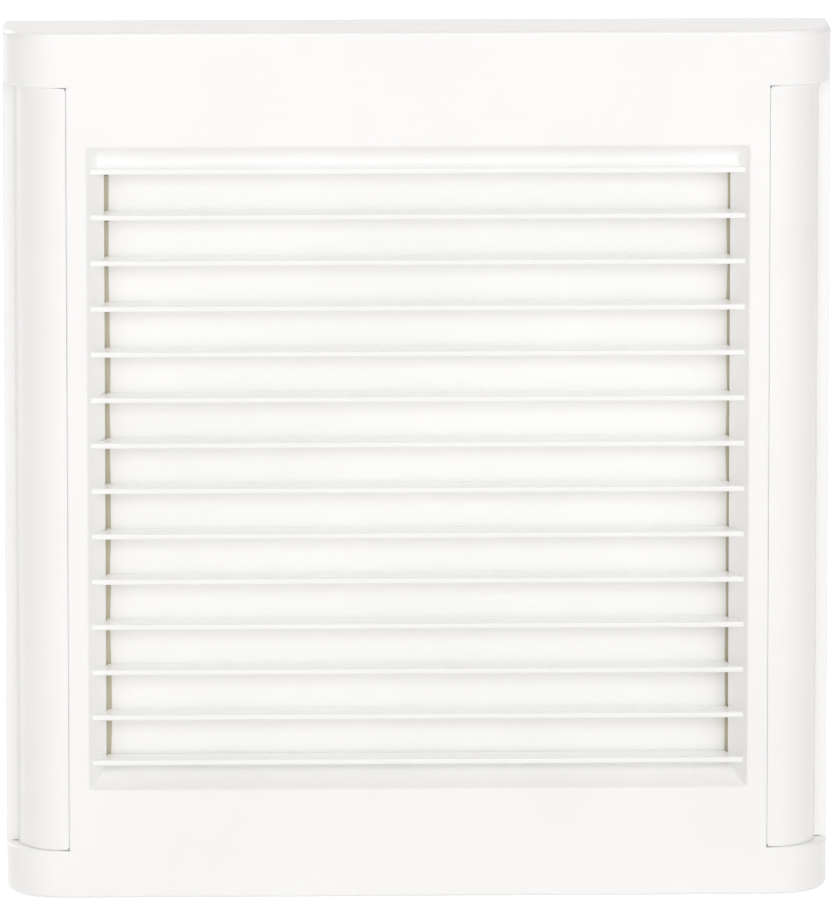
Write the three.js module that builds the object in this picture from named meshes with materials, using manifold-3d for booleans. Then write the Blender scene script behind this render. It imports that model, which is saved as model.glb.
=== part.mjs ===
// Window exhaust fan: a square indoor case with a pull-off louvred cover and a gravity shutter, clamped through
// a round hole in the window pane to an outdoor sleeve that carries the motor, the impeller and the guard.
// Millimetres. X to the right and Z up as seen from the room, +Y out through the window.
// The origin is on the fan axis, in the plane where the indoor gasket touches the glass.
import * as THREE from 'three';
import { mergeVertices } from 'three/addons/utils/BufferGeometryUtils.js';
import Module from 'manifold-3d';

const wasm = await Module();
wasm.setup();

// ---- fits and walls ----
const GAP = 0.3;              // between pieces that seat on each other
const RUN = 0.35;             // radial room round a turning pin
const WALL = 2.2;             // moulded wall

// ---- indoor case ----
const CASE_DEPTH = 38;        // front plane to the back of the case
const CASE_EDGE_R = 2.5;      // rounding of the case's four corners seen from the front
const GASKET_T = 2.7;         // squeezed foam ring
const TOP_CAP = 19.8;         // height of the cover's top cap
const BOTTOM_CAP = 17.2;
const TOP_BAND = 21.2;        // flat band between the recess and the top cap
const BOTTOM_BAND = 22;
const SIDE_BAND = 7.2;        // flat band between the recess and the parting line beside it
const COLUMN_SPREAD = 18.1;   // width of a column's rounded face
const COLUMN_STEP = 0.5;      // how far a column's crest lies behind the panel
const SIDE_LEDGE = 4.2;       // width of the step beside a column
const CAP_CORNER_R = 20;      // rounding of the caps seen from above
const RIM_DEPTH = 20.7;       // front plane to the step where cover and case part
const SKIRT_DEPTH = 8;        // fold of the panel's side edges

// ---- louvred recess in the cover ----
const BAR_COUNT = 14;
const BAR_PITCH = 16.46;
const BAR_DROP = 0.8;         // the bars' middle lies this far below the fan axis
const BAR_T = 2;
const BAR_SETBACK = 3;        // front plane to the bar's front edge
const BAR_BACK = 15.9;        // front plane to the bar's back edge
const ROOT_OVERLAP = 0.6;     // how deep a bar's end runs into the bevel's wall
const RECESS_HALF = 118.2;    // half the width of the recess at the front plane
const RECESS_LEAD = 9.3;      // highest bar's middle to the recess's top edge
const RECESS_TAIL = 9.5;      // lowest bar's middle to its bottom edge
const BEVEL_WIDTH = 6.35;
const BEVEL_DEPTH = 12.8;

// ---- cover posts and their sockets ----
const POST_R = 3;
const POST_SETOUT = 13.6;     // edge of the recess to the posts above and below it
const POST_TIP_DEPTH = 28;    // front plane to the post's tip
const SOCKET_LENGTH = 16;

// ---- shutter ----
const FLAP_SETBACK = 0.7;     // closed flap's face behind the bars' back edges
const FLAP_SIDE_ROOM = 2.1;   // flap's end to the frame
const FLAP_T = 1.2;
const FLAP_SPLIT = 0.8;       // air gap between two closed flaps
const BARREL_R = 1.2;
const PIN_R = 1;
const PIN_SIDES = 8;
const FRAME_REVEAL = 0.45;    // frame's opening beyond the narrow end of the bevel
const FRAME_ROOM_TOP = 5.1;   // from the highest bar's middle up to the frame
const FRAME_ROOM_BOTTOM = 5.3;
const EAR_X = 92;
const EAR_W = 12;
const EAR_H = 9;
const EAR_T = 2.5;
const EAR_BOSS_L = 5.8;
const CRANK_DY = 5;           // crank pin behind the flap's axis
const CRANK_DZ = 6.5;         // crank pin below the flap's axis
const CRANK_T = 2;
const CRANK_HALF_W = 2.4;
const CRANK_ROOM = 0.5;       // side play between frame, crank and link
const LINK_T = 2.2;
const LINK_HALF_W = 2.6;
const LINK_END = 3.6;
const CRANK_PIN_END = 0.9;    // crank pin beyond the link

// ---- clamp through the glass ----
const GLASS_T = 5;
const DUCT_R = 103;           // clear radius of the air way
const SLEEVE_T = 2.5;
const TIE_SETOUT = 6.5;       // outside of the sleeve to the circle of tie screws
const GASKET_SETOUT = 11;     // circle of tie screws to the gaskets
const GASKET_W = 11;
const FLANGE_T = 3;
const TIE_BOSS_R = 4.4;
const TIE_BOSS_START = 1;     // glass plane to the boss's face
const SLEEVE_RIM_W = 6.5;
const SLEEVE_RIM_T = 4;

// ---- outdoor guard ----
const GUARD_T = 3;
const GUARD_RING_COUNT = 5;
const GUARD_RING_W = 2.6;
const GUARD_RIB_COUNT = 8;
const GUARD_RIB_W = 2.6;
const GUARD_HUB_R = 12;
const GUARD_BOLT_SETOUT = 3.1; // outside of the sleeve to the guard's screws

// ---- motor and its bracket ----
const BRACKET_Y = 24;
const BRACKET_T = 3;
const BRACKET_HUB_R = 36;
const ARM_W = 12;
const ARM_END_ROOM = 0.8;
const ARM_BOLT_INSET = 6.5;   // inside of the sleeve to the arm's screw
const ARM_BOSS_L = 7;
const ARM_BOSS_HALF_W = 5.5;
const ARM_BOSS_REACH = 12;    // how far a boss stands in from the sleeve
const MOTOR_R = 42;           // stator stack
const BELL_SETBACK = 3;       // bell inside the rim of the stack
const BELL_T = 1.8;
const STACK_LENGTH = 14;
const REAR_BELL_L = 9.4;
const FRONT_BELL_L = 7;
const STATOR_BORE_R = 22;
const AIR_GAP = 0.5;
const WINDING_LAP = 2.5;      // bore of the stack to the winding
const WINDING_ROOM = 3.2;     // winding to the bell round it
const SHAFT_R = 4;
const BEARING_R = 8;
const BEARING_L = 4;
const MOTOR_BOLT_CIRCLE = 31.5;

// ---- impeller ----
const BLADE_COUNT = 5;
const TIP_ROOM = 4;           // blade tip to the sleeve
const BLADE_T = 2;
const BLADE_EDGE_THINNING = 0.45; // share of the thickness lost at a blade's edges
const BLADE_SETBACK = 18;     // hub's room end to the middle of the blades
const BLADE_ROOT_CHORD = 44;
const BLADE_TIP_CHORD = 74;
const BLADE_TIP_TRIM = 0.12;  // share of the chord rounded off at the tip
const BLADE_ROOT_ANGLE = 42;  // degrees out of the fan's plane
const BLADE_TIP_ANGLE = 24;
const BLADE_CAMBER = 5;
const HUB_R = 28;
const HUB_ROOM = 11;          // bracket to the hub
const HUB_L = 32;
const HUB_BOSS_R = 8.5;
const SLEEVE_TAIL = 16;       // hub's outdoor end to the end of the sleeve
const NUT_R = 6.5;
const NUT_L = 7;

// ---- screws ----
const SCREW_R = 1.9;
const SCREW_HEAD_R = 3.7;
const SCREW_HEAD_T = 2.3;
const SCREW_SIDES = 8;
const SCREW_END_WALL = 1;     // left in front of a blind hole
const SCREW_END_ROOM = 1;     // screw's tip to the bottom of its hole

// ---- wiring space under the shutter ----
const BLOCK = { x: -62, rise: 20.3, w: 38, h: 15, d: 13 };
const BLOCK_COVER_T = 1.5;
const TERMINAL_PITCH = 11.2;
const TERMINAL_R = 2;
const TERMINAL_WIRE_WAY = 4;
const CAPACITOR = { x: 40, rise: 17.6, w: 40, h: 22, d: 15, corner: 3 };
const CLIP_W = 10;
const CLIP_T = 1.2;
const CLIP_FOOT = 6;
const GLAND_INSET = 48;       // side of the case to the gland
const GLAND_R = 5.6;
const GLAND_LIP = 1.4;
const GLAND_FLANGE_T = 2;
const LEAD_R = 2.4;
const LEAD_X = 10;            // where the lead passes the frame and runs along the sleeve
const LEAD_NOTCH_ROOM = 1;

// ---- fineness of round faces ----
const DUCT_SIDES = 40;
const MOTOR_SIDES = 32;
const ROD_SIDES = 24;
const SMALL_SIDES = 16;
const SOCKET_SIDES = 12;
const COLUMN_SEGMENTS = 10;
const LEAD_STEPS = 28;
const PAST = 1;               // how far a cutting body runs past the faces it cuts

// ---- planes and places worked out from the sizes above ----
const CASE_BACK = -(GASKET_T + GAP);
const FRONT = CASE_BACK - CASE_DEPTH;
const FLOOR = CASE_BACK - WALL;                 // room side of the case's back wall
const RIM_Y = FRONT + RIM_DEPTH;
const COVER_EDGE_Y = RIM_Y - GAP;
const BAR_TOP_Z = ((BAR_COUNT - 1) * BAR_PITCH) / 2 - BAR_DROP;
const BAR_BOTTOM_Z = BAR_TOP_Z - (BAR_COUNT - 1) * BAR_PITCH;
const RECESS_TOP = BAR_TOP_Z + RECESS_LEAD;
const RECESS_BOTTOM = BAR_BOTTOM_Z - RECESS_TAIL;
const CAP_TOP_Z = RECESS_TOP + TOP_BAND;
const CAP_BOTTOM_Z = RECESS_BOTTOM - BOTTOM_BAND;
const CASE_TOP = CAP_TOP_Z + TOP_CAP;
const CASE_BOTTOM = CAP_BOTTOM_Z - BOTTOM_CAP;
const PANEL_HALF = RECESS_HALF + SIDE_BAND;     // parting line between the panel and a column
const HALF_W = PANEL_HALF + GAP + COLUMN_SPREAD + SIDE_LEDGE;
const THROAT_HALF = RECESS_HALF - BEVEL_WIDTH;
const BEVEL_END_Y = FRONT + BEVEL_DEPTH;
const FRAME_FRONT = BEVEL_END_Y + GAP;
const FRAME_BACK = FLOOR - GAP;
const FRAME_TOP = BAR_TOP_Z + FRAME_ROOM_TOP;
const FRAME_BOTTOM = BAR_BOTTOM_Z - FRAME_ROOM_BOTTOM;
const FRAME_OPEN_HALF = THROAT_HALF + FRAME_REVEAL;
const FLAP_HALF = FRAME_OPEN_HALF - FLAP_SIDE_ROOM;
const RAIL_OUT = FRAME_OPEN_HALF + WALL;
const HINGE_Y = FRONT + BAR_BACK + FLAP_SETBACK + BARREL_R;
const CRANK_X = RAIL_OUT + CRANK_ROOM;
const LINK_X = CRANK_X + CRANK_T + CRANK_ROOM;
const SLEEVE_R = DUCT_R + SLEEVE_T;
const TIE_CIRCLE_R = SLEEVE_R + TIE_SETOUT;
const GASKET_R_IN = TIE_CIRCLE_R + GASKET_SETOUT;
const GASKET_R_OUT = GASKET_R_IN + GASKET_W;
const FLANGE_Y = GLASS_T + GASKET_T + GAP;
const TIE_HOLE_END = FLANGE_Y + FLANGE_T - SCREW_END_WALL;
const SLEEVE_RIM_R = SLEEVE_R + SLEEVE_RIM_W;
const GUARD_BOLT_R = SLEEVE_R + GUARD_BOLT_SETOUT;
const ARM_BOLT_R = DUCT_R - ARM_BOLT_INSET;
const ARM_BOSS_Y = BRACKET_Y + BRACKET_T + GAP;
const BELL_R = MOTOR_R - BELL_SETBACK;
const WINDING_R_IN = STATOR_BORE_R + WINDING_LAP;
const WINDING_R_OUT = BELL_R - BELL_T - WINDING_ROOM;
const WINDING_T = FRONT_BELL_L - BELL_T - 2 * GAP;
const STACK_Y = BRACKET_Y - GAP - REAR_BELL_L - STACK_LENGTH;
const STACK_END = STACK_Y + STACK_LENGTH;
const HUB_START = BRACKET_Y + BRACKET_T + HUB_ROOM;
const HUB_END = HUB_START + HUB_L;
const BLADE_Y = HUB_START + BLADE_SETBACK;
const BLADE_ROOT_R = HUB_R - WALL / 2;
const BLADE_TIP_R = DUCT_R - TIP_ROOM;
const SLEEVE_END = HUB_END + SLEEVE_TAIL;
const GUARD_Y = SLEEVE_END + GAP;
const GLAND_X = -HALF_W + GLAND_INSET;
const GLAND_Y = (RIM_Y + FLOOR) / 2;
const blockZ = CASE_BOTTOM + WALL + BLOCK.rise;
const capacitorZ = CASE_BOTTOM + WALL + CAPACITOR.rise;
const barZ = (i) => BAR_TOP_Z - i * BAR_PITCH;
const hingeZ = (i) => barZ(i) - FLAP_SPLIT / 2 - BARREL_R;

// ---- colours ----
function finish(color, roughness, metalness = 0) {
  return () => new THREE.MeshStandardMaterial({ color, roughness, metalness });
}

const whitePlastic = finish(0xf4f3ee, 0.38);
const flapPlastic = finish(0xf6f5ef, 0.45);
const greyPlastic = finish(0xd9d8d2, 0.5);
const foam = finish(0x2f3031, 0.95);
const zinc = finish(0xb9bcc0, 0.35, 1);
const steel = finish(0x9a9da1, 0.4, 1);
const shaftSteel = finish(0xc9ccd0, 0.25, 1);
const copper = finish(0xa65a2e, 0.35, 1);
const blackPlastic = finish(0x26282a, 0.5);
const wireJacket = finish(0xe6e4dd, 0.55);

// ---- solids ----
function solid(geometry) {
  const bare = geometry.index ? geometry.toNonIndexed() : geometry.clone();
  bare.deleteAttribute('normal');
  bare.deleteAttribute('uv');
  const merged = mergeVertices(bare, 1e-4);
  const vertProperties = new Float32Array(merged.attributes.position.array);
  const corners = merged.index.array;
  const kept = [];
  for (let i = 0; i < corners.length; i += 3) {
    const [a, b, c] = [corners[i], corners[i + 1], corners[i + 2]];
    if (a !== b && b !== c && c !== a) kept.push(a, b, c);
  }
  const triVerts = new Uint32Array(kept);
  return new wasm.Manifold(new wasm.Mesh({ numProp: 3, vertProperties, triVerts }));
}

function join(first, ...others) {
  return others.reduce((sum, other) => sum.add(other), first);
}

function cut(first, ...others) {
  return others.reduce((rest, other) => rest.subtract(other), first);
}

function geometryOf(manifold) {
  const { vertProperties, triVerts } = manifold.getMesh();
  const geometry = new THREE.BufferGeometry();
  geometry.setAttribute('position', new THREE.BufferAttribute(new Float32Array(vertProperties), 3));
  geometry.setIndex(new THREE.BufferAttribute(new Uint32Array(triVerts), 1));
  return geometry;
}

function box(x0, x1, y0, y1, z0, z1) {
  const geometry = new THREE.BoxGeometry(x1 - x0, y1 - y0, z1 - z0);
  return solid(geometry.translate((x0 + x1) / 2, (y0 + y1) / 2, (z0 + z1) / 2));
}

// A four-sided funnel along Y between two rectangles [x0, x1, z0, z1].
function funnel(rectA, yA, rectB, yB) {
  const geometry = new THREE.BoxGeometry(1, 1, 1);
  const place = geometry.attributes.position;
  for (let i = 0; i < place.count; i += 1) {
    const atB = place.getY(i) > 0;
    const [x0, x1, z0, z1] = atB ? rectB : rectA;
    place.setXYZ(i, place.getX(i) > 0 ? x1 : x0, atB ? yB : yA, place.getZ(i) > 0 ? z1 : z0);
  }
  return solid(geometry);
}

// Extrusions of a Shape: drawn as (x, y) and raised along Z, as (x, z) and run along Y,
// or as (y, z) and run along X.
function raise(shape, z0, z1, curveSegments = 5) {
  const geometry = new THREE.ExtrudeGeometry(shape, { depth: z1 - z0, bevelEnabled: false, curveSegments });
  return solid(geometry.translate(0, 0, z0));
}

function runY(shape, y0, y1, curveSegments = 2) {
  const geometry = new THREE.ExtrudeGeometry(shape, { depth: y1 - y0, bevelEnabled: false, curveSegments });
  return solid(geometry.rotateX(Math.PI / 2).translate(0, y1, 0));
}

function runX(shape, x0, x1, curveSegments = 3) {
  const geometry = new THREE.ExtrudeGeometry(shape, { depth: x1 - x0, bevelEnabled: false, curveSegments });
  const turn = new THREE.Matrix4().set(0, 0, 1, x0, 1, 0, 0, 0, 0, 1, 0, 0, 0, 0, 0, 1);
  return solid(geometry.applyMatrix4(turn));
}

// Round bars along Y, X and Z.
function rodY(r, y0, y1, x = 0, z = 0, sides = ROD_SIDES) {
  return solid(new THREE.CylinderGeometry(r, r, y1 - y0, sides).translate(x, (y0 + y1) / 2, z));
}

function rodX(r, x0, x1, y, z, sides = PIN_SIDES) {
  const geometry = new THREE.CylinderGeometry(r, r, x1 - x0, sides).rotateZ(-Math.PI / 2);
  return solid(geometry.translate((x0 + x1) / 2, y, z));
}

function rodZ(r, z0, z1, x, y, sides = ROD_SIDES) {
  const geometry = new THREE.CylinderGeometry(r, r, z1 - z0, sides).rotateX(Math.PI / 2);
  return solid(geometry.translate(x, y, (z0 + z1) / 2));
}

// A body turned about the fan axis from a closed outline of [radius, y] points.
function turned(points, sides = DUCT_SIDES) {
  const outline = points.map(([r, y]) => new THREE.Vector2(r, y));
  return solid(new THREE.LatheGeometry([...outline, outline[0].clone()], sides));
}

function ring(rIn, rOut, y0, y1, sides = DUCT_SIDES) {
  return turned([[rIn, y0], [rOut, y0], [rOut, y1], [rIn, y1]], sides);
}

function roundedRect(x0, x1, z0, z1, r) {
  const shape = new THREE.Shape();
  shape.moveTo(x0 + r, z0);
  shape.lineTo(x1 - r, z0);
  shape.absarc(x1 - r, z0 + r, r, -Math.PI / 2, 0);
  shape.lineTo(x1, z1 - r);
  shape.absarc(x1 - r, z1 - r, r, 0, Math.PI / 2);
  shape.lineTo(x0 + r, z1);
  shape.absarc(x0 + r, z1 - r, r, Math.PI / 2, Math.PI);
  shape.lineTo(x0, z0 + r);
  shape.absarc(x0 + r, z0 + r, r, Math.PI, Math.PI * 1.5);
  return shape;
}

// The caps seen from above: square at the back, rounded towards the room.
function capPlan(halfW, r, yFront, yBack) {
  const shape = new THREE.Shape();
  shape.moveTo(-halfW, yBack);
  shape.lineTo(-halfW, yFront + r);
  shape.absarc(-halfW + r, yFront + r, r, Math.PI, Math.PI * 1.5);
  shape.lineTo(halfW - r, yFront);
  shape.absarc(halfW - r, yFront + r, r, -Math.PI / 2, 0);
  shape.lineTo(halfW, yBack);
  return shape;
}

const model = new THREE.Group();

function addPiece(name, body, material) {
  const geometry = body.isBufferGeometry ? body : geometryOf(body);
  geometry.computeVertexNormals();
  const mesh = new THREE.Mesh(geometry, material());
  mesh.name = name;
  model.add(mesh);
}

const quarters = [0, 1, 2, 3].map((i) => (i * Math.PI) / 2);
const diagonals = quarters.map((angle) => angle + Math.PI / 4);
const onCircle = (r, angle) => [r * Math.cos(angle), r * Math.sin(angle)];

// Pan-head screw along +Y whose head seats on a face at y.
function screw(x, z, y, length, r = SCREW_R) {
  const head = rodY(SCREW_HEAD_R, y - GAP - SCREW_HEAD_T, y - GAP, x, z, SCREW_SIDES);
  return join(head, rodY(r, y - GAP - SCREW_HEAD_T / 2, y + length, x, z, SCREW_SIDES));
}

// The same screw driven from outdoors, along -Y.
function screwFromOutdoors(x, z, y, length) {
  return screw(x, z, -y, length).mirror([0, 1, 0]);
}

// Posts stand at the corners of the recess, in the bands above and below it.
function postPlaces() {
  const top = RECESS_TOP + POST_SETOUT;
  const bottom = RECESS_BOTTOM - POST_SETOUT;
  return [[-RECESS_HALF, top], [RECESS_HALF, top], [-RECESS_HALF, bottom], [RECESS_HALF, bottom]];
}

// ---- front cover ----
function frontCover() {
  const outer = roundedRect(-HALF_W, HALF_W, CASE_BOTTOM, CASE_TOP, CASE_EDGE_R);
  const trim = runY(outer, FRONT - PAST, CASE_BACK);
  const plan = capPlan(HALF_W, CAP_CORNER_R, FRONT, COVER_EDGE_Y);
  const roomPlan = capPlan(HALF_W - WALL, CAP_CORNER_R - WALL, FRONT + WALL, COVER_EDGE_Y + PAST);
  const cap = (z0, z1) => raise(plan, z0, z1).intersect(trim);
  const capRoom = (z0, z1) => raise(roomPlan, z0 + WALL, z1 - WALL);
  const panel = box(-PANEL_HALF, PANEL_HALF, FRONT, FRONT + SKIRT_DEPTH, CAP_BOTTOM_Z - WALL, CAP_TOP_Z + WALL);
  const panelRoom = box(-PANEL_HALF + WALL, PANEL_HALF - WALL, FRONT + WALL, RIM_Y,
    CASE_BOTTOM + WALL, CASE_TOP - WALL);
  let cover = join(cap(CAP_TOP_Z, CASE_TOP), cap(CASE_BOTTOM, CAP_BOTTOM_Z), panel);
  cover = cut(cover, capRoom(CAP_TOP_Z, CASE_TOP), capRoom(CASE_BOTTOM, CAP_BOTTOM_Z), panelRoom);

  const mouth = [-RECESS_HALF, RECESS_HALF, RECESS_BOTTOM, RECESS_TOP];
  const inset = (rect, by) => [rect[0] + by, rect[1] - by, rect[2] + by, rect[3] - by];
  const throat = inset(mouth, BEVEL_WIDTH);
  const slope = BEVEL_WIDTH / BEVEL_DEPTH;
  const bevel = funnel(inset(mouth, -WALL), FRONT + WALL / 2, inset(throat, -WALL), BEVEL_END_Y);
  const hollow = funnel(inset(mouth, -slope * PAST), FRONT - PAST,
    inset(throat, slope * PAST), BEVEL_END_Y + PAST);
  cover = cut(join(cover, bevel), hollow);

  const bar = new THREE.Shape();
  const frontHalf = RECESS_HALF - slope * BAR_SETBACK + ROOT_OVERLAP;
  bar.moveTo(-frontHalf, FRONT + BAR_SETBACK);
  bar.lineTo(frontHalf, FRONT + BAR_SETBACK);
  bar.lineTo(THROAT_HALF + ROOT_OVERLAP, BEVEL_END_Y - GAP);
  bar.lineTo(THROAT_HALF - GAP, BEVEL_END_Y + GAP);
  bar.lineTo(THROAT_HALF - GAP, FRONT + BAR_BACK);
  bar.lineTo(-THROAT_HALF + GAP, FRONT + BAR_BACK);
  bar.lineTo(-THROAT_HALF + GAP, BEVEL_END_Y + GAP);
  bar.lineTo(-THROAT_HALF - ROOT_OVERLAP, BEVEL_END_Y - GAP);
  for (let i = 0; i < BAR_COUNT; i += 1) {
    cover = cover.add(raise(bar, barZ(i) - BAR_T / 2, barZ(i) + BAR_T / 2));
  }
  // Webs close the gap between the recess and the first and last bars.
  const webHalf = THROAT_HALF - GAP;
  const web = (z0, z1) => box(-webHalf, webHalf, BEVEL_END_Y - WALL, FRONT + BAR_BACK, z0, z1);
  cover = join(cover, web(BAR_TOP_Z, throat[3] + BAR_T / 2), web(throat[2] - BAR_T / 2, BAR_BOTTOM_Z));
  for (const [x, z] of postPlaces()) {
    cover = cover.add(rodY(POST_R, FRONT + WALL / 2, FRONT + POST_TIP_DEPTH, x, z, SCREW_SIDES));
  }
  return cover;
}

// ---- indoor case ----
// Half of the case's side seen from above: the column's rounded face, the step beside it and the side wall.
function columnPlan(inset) {
  const inner = PANEL_HALF + GAP + inset;
  const back = inset ? FLOOR : CASE_BACK;
  const stepY = RIM_Y + inset;
  const spread = COLUMN_SPREAD - 2 * inset;
  const plan = new THREE.Shape();
  plan.moveTo(inner, back);
  plan.lineTo(HALF_W - inset, back);
  plan.lineTo(HALF_W - inset, stepY);
  plan.lineTo(inner + spread, stepY);
  plan.absellipse(inner, stepY, spread, RIM_DEPTH - COLUMN_STEP - inset, 0, -Math.PI / 2, true);
  return plan;
}

function innerHousing() {
  const outline = roundedRect(-HALF_W, HALF_W, CASE_BOTTOM, CASE_TOP, CASE_EDGE_R);
  const room = roundedRect(-HALF_W + WALL, HALF_W - WALL, CASE_BOTTOM + WALL, CASE_TOP - WALL, CASE_EDGE_R / 2);
  let housing = cut(runY(outline, RIM_Y, CASE_BACK), runY(room, RIM_Y - PAST, FLOOR));
  const column = cut(raise(columnPlan(0), CAP_BOTTOM_Z + GAP, CAP_TOP_Z - GAP, COLUMN_SEGMENTS),
    raise(columnPlan(WALL), CAP_BOTTOM_Z - PAST, CAP_TOP_Z + PAST, COLUMN_SEGMENTS));
  housing = join(housing, column, column.mirror([1, 0, 0]));
  housing = housing.subtract(rodY(DUCT_R, FLOOR - PAST, CASE_BACK + PAST, 0, 0, DUCT_SIDES));
  for (const angle of diagonals) {
    const [x, z] = onCircle(TIE_CIRCLE_R, angle);
    housing = housing.subtract(rodY(SCREW_R + RUN, FLOOR - PAST, CASE_BACK + PAST, x, z, SCREW_SIDES));
  }
  const socketY = FLOOR - SOCKET_LENGTH;
  for (const [x, z] of postPlaces()) {
    housing = housing.add(rodY(POST_R + RUN + WALL, socketY, FLOOR + WALL / 2, x, z, SOCKET_SIDES));
    housing = housing.subtract(rodY(POST_R + RUN, socketY - PAST, FLOOR - WALL / 2, x, z, SOCKET_SIDES));
  }
  const earBossY = FLOOR - EAR_BOSS_L;
  for (const [x, z] of earPlaces()) {
    housing = housing.add(rodY(SCREW_HEAD_R, earBossY, FLOOR + WALL / 2, x, z, SCREW_SIDES));
    housing = housing.subtract(rodY(SCREW_R + RUN, earBossY - PAST, FLOOR, x, z, SCREW_SIDES));
  }
  return housing.subtract(rodZ(GLAND_R + GAP, CASE_BOTTOM - PAST, CASE_BOTTOM + WALL + PAST, GLAND_X, GLAND_Y));
}

// ---- shutter ----
function earPlaces() {
  const top = FRAME_TOP + WALL + EAR_H / 2;
  const bottom = FRAME_BOTTOM - WALL - EAR_H / 2;
  return [[-EAR_X, top], [EAR_X, top], [-EAR_X, bottom], [EAR_X, bottom]];
}

function shutterFrame() {
  let frame = box(-RAIL_OUT, RAIL_OUT, FRAME_FRONT, FRAME_BACK, FRAME_BOTTOM - WALL, FRAME_TOP + WALL);
  frame = frame.subtract(box(-FRAME_OPEN_HALF, FRAME_OPEN_HALF, FRAME_FRONT - PAST, FRAME_BACK + PAST,
    FRAME_BOTTOM, FRAME_TOP));
  for (let i = 0; i < BAR_COUNT - 1; i += 1) {
    frame = frame.subtract(rodX(PIN_R + RUN, -RAIL_OUT - PAST, RAIL_OUT + PAST, HINGE_Y, hingeZ(i)));
  }
  const earBack = FLOOR - EAR_BOSS_L - GAP;
  for (const [x, z] of earPlaces()) {
    const end = z + (Math.sign(z) * EAR_H) / 2;
    const root = z - (Math.sign(z) * (EAR_H + WALL)) / 2;
    frame = frame.add(box(x - EAR_W / 2, x + EAR_W / 2, earBack - EAR_T, earBack,
      Math.min(root, end), Math.max(root, end)));
    frame = frame.subtract(rodY(SCREW_R + RUN, earBack - EAR_T - PAST, earBack + PAST, x, z, SCREW_SIDES));
  }
  return frame.subtract(leadNotch());
}

function leadNotch() {
  const half = LEAD_R + LEAD_NOTCH_ROOM;
  return box(LEAD_X - half, LEAD_X + half, FLOOR - 2 * half - GAP, FRAME_BACK + PAST,
    FRAME_BOTTOM - WALL - PAST, FRAME_BOTTOM + PAST);
}

// One flap: a thin plate under a round top edge, with a pin at each end and a crank beyond the right-hand rail.
function louvreFlap(i) {
  const z = hingeZ(i);
  const bottom = barZ(i + 1) + FLAP_SPLIT / 2;
  const section = new THREE.Shape();
  section.moveTo(HINGE_Y - BARREL_R, bottom);
  section.lineTo(HINGE_Y - BARREL_R + FLAP_T, bottom);
  section.lineTo(HINGE_Y - BARREL_R + FLAP_T, z - BARREL_R / 2);
  section.absarc(HINGE_Y, z, BARREL_R, -Math.PI / 3, Math.PI);
  const plate = runX(section, -FLAP_HALF, FLAP_HALF);
  const leftPin = rodX(PIN_R, -RAIL_OUT, -FLAP_HALF + PIN_R, HINGE_Y, z);
  const rightPin = rodX(PIN_R, FLAP_HALF - PIN_R, CRANK_X + CRANK_T / 2, HINGE_Y, z);
  const crankPinX = LINK_X + LINK_T + CRANK_PIN_END;
  const crankPin = rodX(PIN_R, CRANK_X + CRANK_T / 2, crankPinX, HINGE_Y + CRANK_DY, z - CRANK_DZ);
  return join(plate, leftPin, rightPin, runX(crankShape(z), CRANK_X, CRANK_X + CRANK_T), crankPin);
}

function crankShape(z) {
  const lean = Math.atan2(-CRANK_DZ, CRANK_DY);
  const shape = new THREE.Shape();
  shape.absarc(HINGE_Y, z, CRANK_HALF_W, lean + Math.PI / 2, lean + Math.PI * 1.5);
  shape.absarc(HINGE_Y + CRANK_DY, z - CRANK_DZ, CRANK_HALF_W, lean - Math.PI / 2, lean + Math.PI / 2);
  return shape;
}

function shutterLink() {
  const y = HINGE_Y + CRANK_DY;
  const crankZ = (i) => hingeZ(i) - CRANK_DZ;
  const last = BAR_COUNT - 2;
  let link = box(LINK_X, LINK_X + LINK_T, y - LINK_HALF_W, y + LINK_HALF_W,
    crankZ(last) - LINK_END, crankZ(0) + LINK_END);
  for (let i = 0; i <= last; i += 1) {
    link = link.subtract(rodX(PIN_R + RUN, LINK_X - PAST, LINK_X + LINK_T + PAST, y, crankZ(i)));
  }
  return link;
}

// ---- outdoor sleeve ----
function outerHousing() {
  const start = CASE_BACK + GAP;
  const rimY = SLEEVE_END - SLEEVE_RIM_T;
  let sleeve = turned([
    [DUCT_R, start], [SLEEVE_R, start], [SLEEVE_R, FLANGE_Y], [GASKET_R_OUT, FLANGE_Y],
    [GASKET_R_OUT, FLANGE_Y + FLANGE_T], [SLEEVE_R, FLANGE_Y + FLANGE_T], [SLEEVE_R, rimY],
    [SLEEVE_RIM_R, rimY], [SLEEVE_RIM_R, SLEEVE_END], [DUCT_R, SLEEVE_END],
  ]);
  for (const angle of diagonals) {
    const [x, z] = onCircle(TIE_CIRCLE_R, angle);
    sleeve = sleeve.add(rodY(TIE_BOSS_R, TIE_BOSS_START, FLANGE_Y + FLANGE_T / 2, x, z, SOCKET_SIDES));
    sleeve = sleeve.subtract(rodY(SCREW_R + RUN, TIE_BOSS_START - PAST, TIE_HOLE_END, x, z, SCREW_SIDES));
  }
  const armHoleEnd = ARM_BOSS_Y + ARM_BOSS_L - SCREW_END_WALL;
  for (const angle of quarters) {
    const boss = box(DUCT_R - ARM_BOSS_REACH, DUCT_R + SLEEVE_T / 2, ARM_BOSS_Y, ARM_BOSS_Y + ARM_BOSS_L,
      -ARM_BOSS_HALF_W, ARM_BOSS_HALF_W);
    const [x, z] = onCircle(ARM_BOLT_R, angle);
    sleeve = sleeve.add(boss.rotate([0, -THREE.MathUtils.radToDeg(angle), 0]));
    sleeve = sleeve.subtract(rodY(SCREW_R + RUN, ARM_BOSS_Y - PAST, armHoleEnd, x, z, SCREW_SIDES));
    const [gx, gz] = onCircle(GUARD_BOLT_R, angle);
    sleeve = sleeve.subtract(rodY(SCREW_R + GAP, rimY - PAST, SLEEVE_END + PAST, gx, gz, SCREW_SIDES));
  }
  return sleeve;
}

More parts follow.
